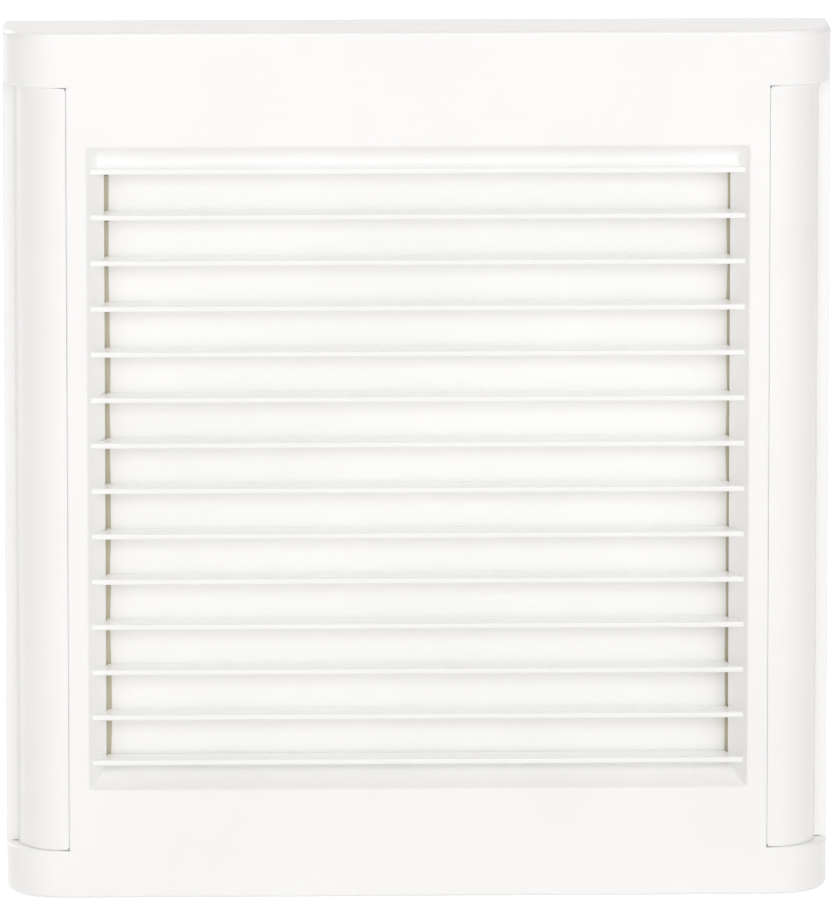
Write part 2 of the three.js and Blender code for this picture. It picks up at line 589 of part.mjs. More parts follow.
function rearGuard() {
  const back = GUARD_Y + GUARD_T;
  let guard = ring(DUCT_R - SLEEVE_T, SLEEVE_RIM_R, GUARD_Y, back);
  const ringStep = (DUCT_R - GUARD_HUB_R) / (GUARD_RING_COUNT + 1);
  for (let i = 1; i <= GUARD_RING_COUNT; i += 1) {
    const r = GUARD_HUB_R + i * ringStep;
    guard = guard.add(ring(r - GUARD_RING_W / 2, r + GUARD_RING_W / 2, GUARD_Y, back, ROD_SIDES));
  }
  guard = guard.add(rodY(GUARD_HUB_R, GUARD_Y, back));
  for (let i = 0; i < GUARD_RIB_COUNT; i += 1) {
    const rib = box(GUARD_HUB_R - PAST, DUCT_R - PAST, GUARD_Y, back, -GUARD_RIB_W / 2, GUARD_RIB_W / 2);
    guard = guard.add(rib.rotate([0, ((i + 0.5) * 360) / GUARD_RIB_COUNT, 0]));
  }
  for (const angle of quarters) {
    const [x, z] = onCircle(GUARD_BOLT_R, angle);
    guard = guard.subtract(rodY(SCREW_R + GAP, GUARD_Y - PAST, back + PAST, x, z, SCREW_SIDES));
  }
  return guard;
}

// ---- motor ----
function motorBracket() {
  const back = BRACKET_Y + BRACKET_T;
  let bracket = rodY(BRACKET_HUB_R, BRACKET_Y, back, 0, 0, MOTOR_SIDES);
  for (const angle of quarters) {
    const arm = box(BRACKET_HUB_R - WALL, DUCT_R - ARM_END_ROOM, BRACKET_Y, back, -ARM_W / 2, ARM_W / 2);
    bracket = bracket.add(arm.rotate([0, -THREE.MathUtils.radToDeg(angle), 0]));
  }
  bracket = bracket.subtract(rodY(BEARING_R + RUN, BRACKET_Y - PAST, back + PAST));
  const holes = [...quarters.map((angle) => onCircle(ARM_BOLT_R, angle)),
    ...diagonals.map((angle) => onCircle(MOTOR_BOLT_CIRCLE, angle))];
  for (const [x, z] of holes) {
    bracket = bracket.subtract(rodY(SCREW_R + RUN, BRACKET_Y - PAST, back + PAST, x, z, SCREW_SIDES));
  }
  return bracket;
}

// A bell: a cup over the winding with a bearing seat in its floor. side is +1 outdoors and -1 towards the room.
function motorBell(faceY, length, side) {
  const at = (offset) => faceY + side * offset;
  const outline = [
    [BEARING_R + GAP, at(length)], [BELL_R, at(length)], [BELL_R, at(GAP)], [BELL_R - BELL_T, at(GAP)],
    [BELL_R - BELL_T, at(length - BELL_T)], [BEARING_R + GAP + BELL_T, at(length - BELL_T)],
    [BEARING_R + GAP + BELL_T, at(length - BEARING_L)], [BEARING_R + GAP, at(length - BEARING_L)],
  ];
  return turned(side > 0 ? outline.slice().reverse() : outline, MOTOR_SIDES);
}

function rearBell() {
  const floor = STACK_END + REAR_BELL_L;
  let bell = motorBell(STACK_END, REAR_BELL_L, 1);
  for (const angle of diagonals) {
    const [x, z] = onCircle(MOTOR_BOLT_CIRCLE, angle);
    bell = bell.subtract(rodY(SCREW_R + RUN, floor - BELL_T - PAST, floor + PAST, x, z, SCREW_SIDES));
  }
  return bell;
}

// ---- impeller ----
// A flat grid bent into one blade: twisted about its radial line, dished along its chord and thin at its edges.
function blade() {
  const radial = 6;
  const chordwise = 4;
  const geometry = new THREE.BoxGeometry(1, 1, 1, radial, 1, chordwise);
  const place = geometry.attributes.position;
  for (let i = 0; i < place.count; i += 1) {
    const along = place.getX(i) + 0.5;
    const across = place.getZ(i);
    const r = THREE.MathUtils.lerp(BLADE_ROOT_R, BLADE_TIP_R, along);
    const trim = 1 - BLADE_TIP_TRIM * along ** 4;
    const chord = THREE.MathUtils.lerp(BLADE_ROOT_CHORD, BLADE_TIP_CHORD, along) * trim;
    const pitch = THREE.MathUtils.degToRad(THREE.MathUtils.lerp(BLADE_ROOT_ANGLE, BLADE_TIP_ANGLE, along));
    const thickness = BLADE_T * (1 - 4 * BLADE_EDGE_THINNING * across * across);
    const rise = BLADE_CAMBER * (1 - 4 * across * across) + place.getY(i) * thickness;
    const swing = (across * chord * Math.cos(pitch) - rise * Math.sin(pitch)) / r;
    const y = BLADE_Y + across * chord * Math.sin(pitch) + rise * Math.cos(pitch);
    place.setXYZ(i, r * Math.cos(swing), y, r * Math.sin(swing));
  }
  return solid(geometry);
}

function impeller() {
  const web = HUB_END - WALL;
  let wheel = turned([
    [SHAFT_R + GAP, HUB_START], [HUB_BOSS_R, HUB_START], [HUB_BOSS_R, web], [HUB_R - WALL, web],
    [HUB_R - WALL, HUB_START], [HUB_R, HUB_START], [HUB_R, web], [HUB_R - WALL, HUB_END],
    [SHAFT_R + GAP, HUB_END],
  ], MOTOR_SIDES);
  const keep = rodY(BLADE_ROOT_R, HUB_START - HUB_ROOM, HUB_END + SLEEVE_TAIL, 0, 0, MOTOR_SIDES);
  for (let i = 0; i < BLADE_COUNT; i += 1) {
    wheel = wheel.add(blade().rotate([0, (i * 360) / BLADE_COUNT, 0]).subtract(keep));
  }
  return wheel;
}

// ---- wiring ----
function terminalBlock() {
  const { x, w, h, d } = BLOCK;
  const back = FLOOR - GAP;
  const middle = back - d / 2;
  let block = box(x - w / 2, x + w / 2, back - d, back, blockZ - h / 2, blockZ + h / 2);
  for (const step of [-1, 0, 1]) {
    const cx = x + step * TERMINAL_PITCH;
    block = block.subtract(rodY(TERMINAL_R, back - d - PAST, middle, cx, blockZ, SCREW_SIDES));
    block = block.subtract(box(cx - TERMINAL_R, cx + TERMINAL_R, middle - TERMINAL_WIRE_WAY, middle,
      blockZ + h / 4, blockZ + h / 2 + PAST));
  }
  return block;
}

function terminalCover() {
  const { x, w, h, d } = BLOCK;
  const t = BLOCK_COVER_T + GAP;
  const front = FLOOR - GAP - d;
  const outer = box(x - w / 2 - t, x + w / 2 + t, front - t, front + d / 2, blockZ - h / 2 - t, blockZ + h / 4);
  return outer.subtract(box(x - w / 2 - GAP, x + w / 2 + GAP, front - GAP, front + d,
    blockZ - h / 2 - GAP, blockZ + h / 2 + PAST));
}

function capacitorCan() {
  const { x, w, h, d, corner } = CAPACITOR;
  const back = FLOOR - GAP;
  const end = roundedRect(x - w / 2, x + w / 2, capacitorZ - h / 2, capacitorZ + h / 2, corner);
  return runY(end, back - d, back, 3);
}

function capacitorClip() {
  const { x, h, d } = CAPACITOR;
  const back = FLOOR - GAP;
  const t = CLIP_T + GAP;
  const strapHalf = h / 2 + t;
  const footHalf = h / 2 + CLIP_FOOT;
  const [x0, x1] = [x - CLIP_W / 2, x + CLIP_W / 2];
  const clip = (y0, half) => box(x0, x1, y0, back, capacitorZ - half, capacitorZ + half);
  const strap = clip(back - d - t, strapHalf);
  const feet = clip(back - CLIP_T, footHalf);
  return join(strap, feet).subtract(box(x - CLIP_W, x + CLIP_W, back - d - GAP, back + PAST,
    capacitorZ - h / 2 - GAP, capacitorZ + h / 2 + GAP));
}

function cableGland() {
  const inside = CASE_BOTTOM + WALL + GAP;
  const top = inside + GLAND_FLANGE_T;
  const bush = rodZ(GLAND_R, CASE_BOTTOM, top, GLAND_X, GLAND_Y);
  const flange = rodZ(GLAND_R + GLAND_LIP, inside, top, GLAND_X, GLAND_Y);
  return join(bush, flange).subtract(rodZ(GLAND_R - WALL, CASE_BOTTOM - PAST, top + PAST, GLAND_X, GLAND_Y));
}

// The motor lead, from the terminals through the notch in the shutter frame and along the lower arm.
function motorLead() {
  const terminalX = BLOCK.x + BLOCK.w / 2;
  const terminalZ = blockZ + BLOCK.h / 2;
  const ride = BRACKET_Y - GAP - LEAD_R;
  const route = [
    [terminalX + 4, FLOOR - 7, terminalZ + 5],
    [terminalX + 16, FLOOR - 6, terminalZ + 6],
    [LEAD_X - 12, FLOOR - 5, FRAME_BOTTOM - 14],
    [LEAD_X - 1.5, FLOOR - 4.3, FRAME_BOTTOM - 9],
    [LEAD_X, FLOOR - 4, FRAME_BOTTOM - 1],
    [LEAD_X, FLOOR - 4.2, -DUCT_R - 1.5],
    [LEAD_X, FLOOR + 2, -DUCT_R + 9],
    [LEAD_X, 8, -DUCT_R + 5.5],
    [LEAD_X - 1, ride - 4, -ARM_BOLT_R + 5],
    [LEAD_X - 6, ride - 0.5, -ARM_BOLT_R + 16],
    [0, ride, -ARM_BOLT_R + 28],
    [0, ride - 2, -BELL_R - GAP],
  ].map(([px, py, pz]) => new THREE.Vector3(px, py, pz));
  const path = new THREE.CatmullRomCurve3(route, false, 'centripetal');
  const section = new THREE.Shape();
  section.absarc(0, 0, LEAD_R, 0, Math.PI * 2);
  const sweep = { steps: LEAD_STEPS, extrudePath: path, curveSegments: 4, bevelEnabled: false };
  return solid(new THREE.ExtrudeGeometry(section, sweep));
}

// ---- assembly ----
addPiece('front_cover', frontCover(), whitePlastic);
addPiece('inner_housing', innerHousing(), whitePlastic);
addPiece('shutter_frame', shutterFrame(), greyPlastic);
for (let i = 0; i < BAR_COUNT - 1; i += 1) {
  addPiece(`louvre_flap_${String(i + 1).padStart(2, '0')}`, louvreFlap(i), flapPlastic);
}
addPiece('shutter_link', shutterLink(), greyPlastic);
earPlaces().forEach(([x, z], i) => {
  const headSeat = FLOOR - EAR_BOSS_L - GAP - EAR_T;
  addPiece(`frame_screw_${i + 1}`, screw(x, z, headSeat, EAR_T + EAR_BOSS_L - SCREW_END_ROOM), zinc);
});

addPiece('inner_gasket', ring(GASKET_R_IN, GASKET_R_OUT, -GASKET_T, 0), foam);
addPiece('outer_gasket', ring(GASKET_R_IN, GASKET_R_OUT, GLASS_T, GLASS_T + GASKET_T), foam);
addPiece('outer_housing', outerHousing(), whitePlastic);
diagonals.forEach((angle, i) => {
  const [x, z] = onCircle(TIE_CIRCLE_R, angle);
  addPiece(`tie_screw_${i + 1}`, screw(x, z, FLOOR, TIE_HOLE_END - SCREW_END_ROOM - FLOOR), zinc);
});
addPiece('rear_guard', rearGuard(), whitePlastic);
quarters.forEach((angle, i) => {
  const [x, z] = onCircle(GUARD_BOLT_R, angle);
  addPiece(`guard_screw_${i + 1}`, screwFromOutdoors(x, z, GUARD_Y + GUARD_T, GUARD_T + SLEEVE_RIM_T), zinc);
});

addPiece('motor_bracket', motorBracket(), steel);
quarters.forEach((angle, i) => {
  const [x, z] = onCircle(ARM_BOLT_R, angle);
  const length = BRACKET_T + ARM_BOSS_L - SCREW_END_WALL - SCREW_END_ROOM;
  addPiece(`bracket_screw_${i + 1}`, screw(x, z, BRACKET_Y, length), zinc);
});
const frontSeat = STACK_Y - FRONT_BELL_L;
const rearSeat = STACK_END + REAR_BELL_L;
const bearing = (y0) => ring(SHAFT_R + GAP, BEARING_R, y0, y0 + BEARING_L, ROD_SIDES);
const winding = (y0) => ring(WINDING_R_IN, WINDING_R_OUT, y0, y0 + WINDING_T, MOTOR_SIDES);
addPiece('stator_core', ring(STATOR_BORE_R, MOTOR_R, STACK_Y, STACK_END, MOTOR_SIDES), steel);
addPiece('winding_front', winding(STACK_Y - GAP - WINDING_T), copper);
addPiece('winding_rear', winding(STACK_END + GAP), copper);
addPiece('motor_front_bell', motorBell(STACK_Y, FRONT_BELL_L, -1), zinc);
addPiece('motor_rear_bell', rearBell(), zinc);
addPiece('front_bearing', bearing(frontSeat), shaftSteel);
addPiece('rear_bearing', bearing(rearSeat - BEARING_L), shaftSteel);
addPiece('motor_rotor', ring(SHAFT_R + GAP, STATOR_BORE_R - AIR_GAP, STACK_Y, STACK_END, MOTOR_SIDES), steel);
addPiece('motor_shaft', rodY(SHAFT_R, frontSeat, HUB_END + NUT_L - PAST, 0, 0, SMALL_SIDES), shaftSteel);
diagonals.forEach((angle, i) => {
  const [x, z] = onCircle(MOTOR_BOLT_CIRCLE, angle);
  addPiece(`motor_screw_${i + 1}`, screwFromOutdoors(x, z, BRACKET_Y + BRACKET_T, BRACKET_T + BELL_T), zinc);
});

addPiece('impeller', impeller(), whitePlastic);
addPiece('impeller_nut', cut(rodY(NUT_R, HUB_END + GAP, HUB_END + NUT_L, 0, 0, 6),
  rodY(SHAFT_R + GAP, HUB_END, HUB_END + NUT_L + PAST, 0, 0, SMALL_SIDES)), blackPlastic);

addPiece('terminal_block', terminalBlock(), blackPlastic);
addPiece('terminal_cover', terminalCover(), greyPlastic);
addPiece('capacitor', capacitorCan(), blackPlastic);
addPiece('capacitor_clip', capacitorClip(), zinc);
addPiece('cable_gland', cableGland(), blackPlastic);
addPiece('motor_lead', motorLead(), wireJacket);

export default model;
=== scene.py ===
import math
import random

import bmesh
import bpy
from mathutils import Matrix, Vector

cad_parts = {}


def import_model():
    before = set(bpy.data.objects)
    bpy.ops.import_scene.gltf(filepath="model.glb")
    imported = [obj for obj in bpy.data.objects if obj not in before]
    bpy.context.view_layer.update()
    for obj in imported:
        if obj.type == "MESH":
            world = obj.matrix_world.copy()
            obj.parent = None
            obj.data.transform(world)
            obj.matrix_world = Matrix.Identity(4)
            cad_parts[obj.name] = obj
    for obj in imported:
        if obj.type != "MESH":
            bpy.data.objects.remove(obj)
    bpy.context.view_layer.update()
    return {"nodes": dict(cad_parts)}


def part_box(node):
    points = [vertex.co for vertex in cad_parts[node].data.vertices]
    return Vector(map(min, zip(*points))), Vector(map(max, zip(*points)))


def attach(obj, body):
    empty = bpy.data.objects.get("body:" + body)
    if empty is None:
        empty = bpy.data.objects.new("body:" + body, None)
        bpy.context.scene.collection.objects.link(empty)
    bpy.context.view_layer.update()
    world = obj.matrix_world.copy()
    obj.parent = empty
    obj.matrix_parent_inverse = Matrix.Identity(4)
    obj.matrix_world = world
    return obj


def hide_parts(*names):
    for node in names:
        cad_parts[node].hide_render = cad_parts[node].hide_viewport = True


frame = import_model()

# Window exhaust fan. Metres, in the frame of the part: X right and Z up as seen from the room, +Y outdoors,
# with the fan axis along Y through the origin. Sizes are written in millimetres and turned to metres by MM.
MM = 0.001
TAU = 2 * math.pi

# ---- walls and fits ----
GAP = 0.3 * MM                # between pieces that seat on each other
RUN = 0.35 * MM               # radial room round a post in its socket
SEAM = 0.08 * MM              # hairline that shows between the cover and the case
WALL = 2.2 * MM               # moulded wall
PAST = 1 * MM                 # how far a cutting body runs past the faces it cuts

# ---- indoor case and cover ----
cover_low, cover_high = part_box("front_cover")
_, case_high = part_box("inner_housing")
HALF_W = cover_high.x
FRONT = cover_low.y
CASE_TOP = cover_high.z
CASE_BOTTOM = cover_low.z
CASE_BACK = case_high.y
FLOOR_Y = CASE_BACK - WALL              # room side of the case's back wall
RIM_Y = FRONT + 20.7 * MM               # step where the cover and the case part
COVER_EDGE_Y = RIM_Y - SEAM
CAP_TOP_Z = CASE_TOP - 19.8 * MM
CAP_BOTTOM_Z = CASE_BOTTOM + 17.2 * MM
CAP_CORNER_R = 20 * MM                  # caps seen from above
CASE_EDGE_R = 2.5 * MM                  # case's corners seen from the front
CAP_FRONT_R = 1.1 * MM                  # front edges of the two ends
CAP_LIP_R = 0.6 * MM                    # caps' edges above and below the columns
PANEL_HALF = 125.4 * MM                 # parting line beside a column
PANEL_EDGE_R = 0.8 * MM
SKIRT = 8 * MM                          # fold of the panel's side edges
COLUMN_SPREAD = 18.1 * MM
COLUMN_DEPTH = 20.2 * MM
COLUMN_END_R = 0.2 * MM
BEAD_SETBACK = 0.75 * MM                # front plane to the bead in the parting line
POST_R = 3 * MM
POST_SETOUT = 13.6 * MM                 # edge of the recess to the posts above and below it
POST_TIP_Y = FRONT + 28 * MM
SOCKET_L = 16 * MM

# ---- louvred recess ----
RECESS_HALF = 118.2 * MM
RECESS_TOP = CAP_TOP_Z - 21.2 * MM
RECESS_BOTTOM = CAP_BOTTOM_Z + 22 * MM
BEVEL_WIDTH = 6.35 * MM
BEVEL_DEPTH = 12.8 * MM
SLOPE = BEVEL_WIDTH / BEVEL_DEPTH
MOUTH_R = 0.9 * MM                      # rounding of the recess's front edge
THROAT_HALF = RECESS_HALF - BEVEL_WIDTH
BEVEL_END_Y = FRONT + BEVEL_DEPTH
BAR_COUNT = 14
BAR_PITCH = 16.46 * MM
BAR_TOP_Z = RECESS_TOP - 9.3 * MM
BAR_BOTTOM_Z = BAR_TOP_Z - (BAR_COUNT - 1) * BAR_PITCH
BAR_T = 2 * MM
BAR_EDGE_R = 0.55 * MM
BAR_SETBACK = 3 * MM                    # front plane to the bar's front edge
BAR_BACK = 15.9 * MM                    # front plane to the bar's back edge
BAR_ROOT = 0.6 * MM                     # how deep a bar's end runs into the sloped wall
COVE_START = 4.2 * MM                   # depth at which the cove leaves the wall above the highest bar
COVE_END = 3.6 * MM                     # depth at which it meets that bar

# ---- shutter ----
HINGE_Y = FRONT + 17.8 * MM
FLAP_HALF = 110.2 * MM
FLAP_T = 1.2 * MM
FLAP_END_ROOM = 1.5 * MM                # flap's slanted end to the pins above and below it
BARREL_R = 1.2 * MM
EAR_X, EAR_TOP_Z, EAR_BOTTOM_Z = 92 * MM, RECESS_TOP + 2.5 * MM, RECESS_BOTTOM - 2.5 * MM
EAR_BOSS_R = 3.7 * MM
EAR_BOSS_Y = FRONT + 30 * MM

# ---- clamp, sleeve and guard ----
DUCT_R = 103 * MM
SLEEVE_R = 105.5 * MM
GASKET_R = 123 * MM
TIE_CIRCLE_R = 112 * MM
FLANGE_Y = 8 * MM
FLANGE_T = 3 * MM
GUARD_BOLT_R = 108.6 * MM
GUARD_HUB_R = 12 * MM
ARM_BOLT_R = 96.5 * MM
PAD_Y = 27.3 * MM                       # room side of the pads that carry the motor's arms
PAD_L = 7 * MM

# ---- motor, impeller and screws ----
MOTOR_BOLT_R = 31.5 * MM
STATOR_BORE_R = 22 * MM
WINDING_R = (25.2 * MM, 33.2 * MM)
WIRE_R = 0.45 * MM
HUB_R = 28 * MM
HUB_START, HUB_WEB, HUB_END = 38 * MM, 67.8 * MM, 70 * MM
BLADE_COUNT = 5
BLADE_Y = 56 * MM
BLADE_ROOT_R, BLADE_TIP_R = 26.9 * MM, 99 * MM
BLADE_T = 2 * MM
BLADE_RISE = 5 * MM                     # dishing of a blade across its chord
BLADE_CHORD_MM = (44, 74)               # root, and tip before it narrows
BLADE_PITCH = (42, 24)                  # degrees off the impeller's plane at root and tip
BLADE_NARROWING = 0.12                  # share of the chord that is gone at the tip
BLADE_THINNING = 0.45                   # share of the thickness that is gone at the edges
TIP_START, TIP_CORNER = 0.86, 0.16      # where the tip's corners start to round, and by how much
SCREW_HEAD_R = 3.6 * MM
SCREW_HEAD_T = 2.2 * MM
SCREW_R = 1.85 * MM
SCREW_HOLE_R = 2.25 * MM
GUARD_HOLE_R = 2.2 * MM
GLAND_HOLE_R = 5.9 * MM


# ---- meshes ----
def mesh_object(name, mesh):
    made = bpy.data.objects.new(name, mesh)
    bpy.context.scene.collection.objects.link(made)
    return made


def from_bmesh(name, shape):
    bmesh.ops.remove_doubles(shape, verts=shape.verts, dist=0.002 * MM)
    bmesh.ops.dissolve_degenerate(shape, edges=shape.edges, dist=0.001 * MM)
    bmesh.ops.recalc_face_normals(shape, faces=shape.faces)
    mesh = bpy.data.meshes.new(name)
    shape.to_mesh(mesh)
    shape.free()
    return mesh_object(name, mesh)


def loft(name, rings, closed=False):
    """A closed skin over rings of as many points each. A closed loft joins its last ring to its first."""
    shape = bmesh.new()
    rows = [[shape.verts.new(point) for point in ring] for ring in rings]
    pairs = list(zip(rows, rows[1:] + rows[:1])) if closed else list(zip(rows, rows[1:]))
    for lower, upper in pairs:
        for i in range(len(lower)):
            j = (i + 1) % len(lower)
            shape.faces.new((lower[i], lower[j], upper[j], upper[i]))
    if not closed:
        shape.faces.new(list(reversed(rows[0])))
        shape.faces.new(rows[-1])
    return from_bmesh(name, shape)


def arc(cx, cy, r, start, end, steps, ry=None):
    """Points of an arc in degrees, as (x, y)."""
    ry = r if ry is None else ry
    angles = [math.radians(start + (end - start) * k / steps) for k in range(steps + 1)]
    return [(cx + r * math.cos(a), cy + ry * math.sin(a)) for a in angles]


def round_rect(x0, x1, z0, z1, r, steps=6):
    r = max(r, 0.01 * MM)
    return (arc(x1 - r, z1 - r, r, 0, 90, steps) + arc(x0 + r, z1 - r, r, 90, 180, steps)
            + arc(x0 + r, z0 + r, r, 180, 270, steps) + arc(x1 - r, z0 + r, r, 270, 360, steps))


def ring_section(inner, outer, low, high):
    """The corners of a plain ring's section, as (radius, y)."""
    return [(inner, low), (outer, low), (outer, high), (inner, high)]


def soft_steps(low, high, r_low, r_high, steps=4):
    """Places along a run with how far the outline draws in there, so that both ends are rounded over."""
    places = []
    for k in range(steps + 1):
        a = math.radians(90 * k / steps)
        places.append((low + r_low * (1 - math.sin(a)), r_low * (1 - math.cos(a))))
    places.reverse()
    for k in range(steps + 1):
        a = math.radians(90 * k / steps)
        places.append((high - r_high * (1 - math.sin(a)), r_high * (1 - math.cos(a))))
    return places


def slab(name, x0, x1, y0, y1, z0, z1, corner, r_front=0.0, r_back=0.0):
    """A block with rounded corners seen from the room and rounded edges at its two faces."""
    rings = []
    for y, inset in soft_steps(y0, y1, r_front, r_back):
        outline = round_rect(x0 + inset, x1 - inset, z0 + inset, z1 - inset, corner - inset)
        rings.append([(x, y, z) for x, z in outline])
    return loft(name, rings)


def rod(name, r, y0, y1, x=0.0, z=0.0, sides=48, r_low=0.0, r_high=0.0):
    """A round bar along Y with rounded ends."""
    rings = []
    for y, inset in soft_steps(y0, y1, r_low, r_high, 3):
        angles = [TAU * k / sides for k in range(sides)]
        rings.append([(x + (r - inset) * math.cos(a), y, z + (r - inset) * math.sin(a)) for a in angles])
    return loft(name, rings)


def spun(name, profile, sides=96):
    """A ring turned about the fan axis from a closed profile of (radius, y) points."""
    rings = []
    for k in range(sides):
        a = TAU * k / sides
        rings.append([(r * math.cos(a), y, r * math.sin(a)) for r, y in profile])
    return loft(name, rings, closed=True)


def rounded(points, radii, steps=4):
    """A closed outline whose corners are rounded by the radius given for each."""
    made = []
    count = len(points)
    for i, point in enumerate(points):
        here = Vector(point)
        before = Vector(points[i - 1]) - here
        after = Vector(points[(i + 1) % count]) - here
        turn = before.angle(after)
        reach = radii[i] / math.tan(turn / 2) if radii[i] else 0
        reach = min(reach, before.length * 0.48, after.length * 0.48)
        if reach <= 0:
            made.append(tuple(here))
            continue
        start = here + before.normalized() * reach
        end = here + after.normalized() * reach
        for k in range(steps + 1):
            t = k / steps
            made.append(tuple(start * (1 - t) ** 2 + here * 2 * t * (1 - t) + end * t ** 2))
    return made


def bezier(handles, steps):
    """Points of a cubic curve from its four handles."""
    curve = []
    for k in range(steps + 1):
        t = k / steps
        shares = ((1 - t) ** 3, 3 * t * (1 - t) ** 2, 3 * t * t * (1 - t), t ** 3)
        curve.append(tuple(sum(share * handle[n] for share, handle in zip(shares, handles)) for n in (0, 1)))
    return curve


def on_circle(r, k, shift=0.0):
    """Place k of four on a circle about the fan axis, as (x, z). The shift is a share of a step."""
    a = TAU * (k + shift) / 4
    return r * math.cos(a), r * math.sin(a)


def turned(piece, k, count=4, shift=0.0):
    """Turns a piece about the fan axis to place k of so many."""
    piece.data.transform(Matrix.Rotation(-TAU * (k + shift) / count, 4, "Y"))
    return piece


def moved(piece, x, y, z):
    piece.data.transform(Matrix.Translation((x, y, z)))
    return piece


def combine(base, add=(), cut=()):
    """Joins and cuts closed bodies, and keeps the result in the base."""
    for operation, tools in (("UNION", add), ("DIFFERENCE", cut)):
        for tool in tools:
            step = base.modifiers.new("step", "BOOLEAN")
            step.operation = operation
            step.solver = "EXACT"
            step.object = tool
            apply_modifiers(base)
            bpy.data.objects.remove(tool)
    return base


def apply_modifiers(piece):
    bpy.context.view_layer.update()
    evaluated = piece.evaluated_get(bpy.context.evaluated_depsgraph_get())
    mesh = bpy.data.meshes.new_from_object(evaluated)
    piece.modifiers.clear()
    old, piece.data = piece.data, mesh
    mesh.name = piece.name
    bpy.data.meshes.remove(old)
    return piece


def smooth(piece, angle=32):
    """Smooth shading that keeps flat faces flat and creases sharp."""
    mesh = piece.data
    mesh.polygons.foreach_set("use_smooth", [True] * len(mesh.polygons))
    mesh.set_sharp_from_angle(angle=math.radians(angle))
    weighted = piece.modifiers.new("weighted", "WEIGHTED_NORMAL")
    weighted.keep_sharp = True
    weighted.weight = 90
    return apply_modifiers(piece)


def refined(name, width, angle=35):
    """A finer copy of a node of the part: its edges are rounded over and its flats stay flat."""
    shape = bmesh.new()
    shape.from_mesh(frame["nodes"][name].data)
    bmesh.ops.remove_doubles(shape, verts=shape.verts, dist=0.002 * MM)
    bmesh.ops.dissolve_limit(shape, angle_limit=math.radians(1), verts=shape.verts, edges=shape.edges)
    mesh = bpy.data.meshes.new(name)
    shape.to_mesh(mesh)
    shape.free()
    piece = mesh_object(name + "_fine", mesh)
    if width:
        bevel = piece.modifiers.new("edges", "BEVEL")
        bevel.width = width
        bevel.segments = 2
        bevel.limit_method = "ANGLE"
        bevel.angle_limit = math.radians(angle)
        bevel.use_clamp_overlap = False
        apply_modifiers(piece)
    return smooth(piece)


# ---- node trees ----
def node(tree, kind, inputs=None, **settings):
    """Adds a node with its settings and links. An input is a value, a socket or a list of sockets."""
    made = tree.nodes.new(kind)
    for key, value in settings.items():
        setattr(made, key, value)
    for key, value in (inputs or {}).items():
        for source in value if isinstance(value, list) else [value]:
            if isinstance(source, bpy.types.NodeSocket):
                tree.links.new(source, made.inputs[key])
            else:
                made.inputs[key].default_value = source
    return made


def geometry_tree(name, sockets):
    """A Geometry Nodes tree with named inputs. Returns the tree and the sockets of those inputs."""
    tree = bpy.data.node_groups.new(name, "GeometryNodeTree")
    tree.interface.new_socket("Geometry", in_out="INPUT", socket_type="NodeSocketGeometry")
    for label, kind in sockets:
        tree.interface.new_socket(label, in_out="INPUT", socket_type="NodeSocket" + kind)
    tree.interface.new_socket("Finish", in_out="INPUT", socket_type="NodeSocketMaterial")
    tree.interface.new_socket("Geometry", in_out="OUTPUT", socket_type="NodeSocketGeometry")
    return tree, node(tree, "NodeGroupInput").outputs


def close_tree(tree, given, geometry):
    """Ends a tree in Realize Instances and Set Material."""
    real = node(tree, "GeometryNodeRealizeInstances", {"Geometry": geometry})
    finished = node(tree, "GeometryNodeSetMaterial",
                    {"Geometry": real.outputs[0], "Material": given["Finish"]})
    node(tree, "NodeGroupOutput", {"Geometry": finished.outputs[0]})
    return tree


def grow(piece, tree, material, **values):
    """Runs a tree on a piece with the named inputs and keeps the result as a plain mesh."""
    modifier = piece.modifiers.new("grow", "NODES")
    modifier.node_group = tree
    given = {key.replace("_", " "): value for key, value in values.items()}
    given["finish"] = material
    for item in tree.interface.items_tree:
        if item.in_out == "INPUT" and item.name.lower() in given:
            modifier[item.identifier] = given[item.name.lower()]
    apply_modifiers(piece)
    return piece


def row_tree():
    """Copies of a piece in a straight row."""
    tree, given = geometry_tree("row of copies", [("Count", "Int"), ("Step", "Vector")])
    line = node(tree, "GeometryNodeMeshLine", {"Count": given["Count"], "Offset": given["Step"]})
    copies = node(tree, "GeometryNodeInstanceOnPoints",
                  {"Points": line.outputs[0], "Instance": given["Geometry"]})
    return close_tree(tree, given, copies.outputs[0])


def circle_tree():
    """Copies of a piece turned about the fan axis."""
    tree, given = geometry_tree("copies about the axis", [("Count", "Int"), ("First Angle", "Float")])
    points = node(tree, "GeometryNodePoints", {"Count": given["Count"]})
    copies = node(tree, "GeometryNodeInstanceOnPoints",
                  {"Points": points.outputs[0], "Instance": given["Geometry"]})
    index = node(tree, "GeometryNodeInputIndex")
    step = node(tree, "ShaderNodeMath", {0: TAU, 1: given["Count"]}, operation="DIVIDE")
    angle = node(tree, "ShaderNodeMath", {0: index.outputs[0], 1: step.outputs[0], 2: given["First Angle"]},
                 operation="MULTIPLY_ADD")
    turn = node(tree, "ShaderNodeCombineXYZ", {"Y": angle.outputs[0]})
    spread = node(tree, "GeometryNodeRotateInstances",
                  {"Instances": copies.outputs[0], "Rotation": turn.outputs[0], "Local Space": False})
    return close_tree(tree, given, spread.outputs[0])


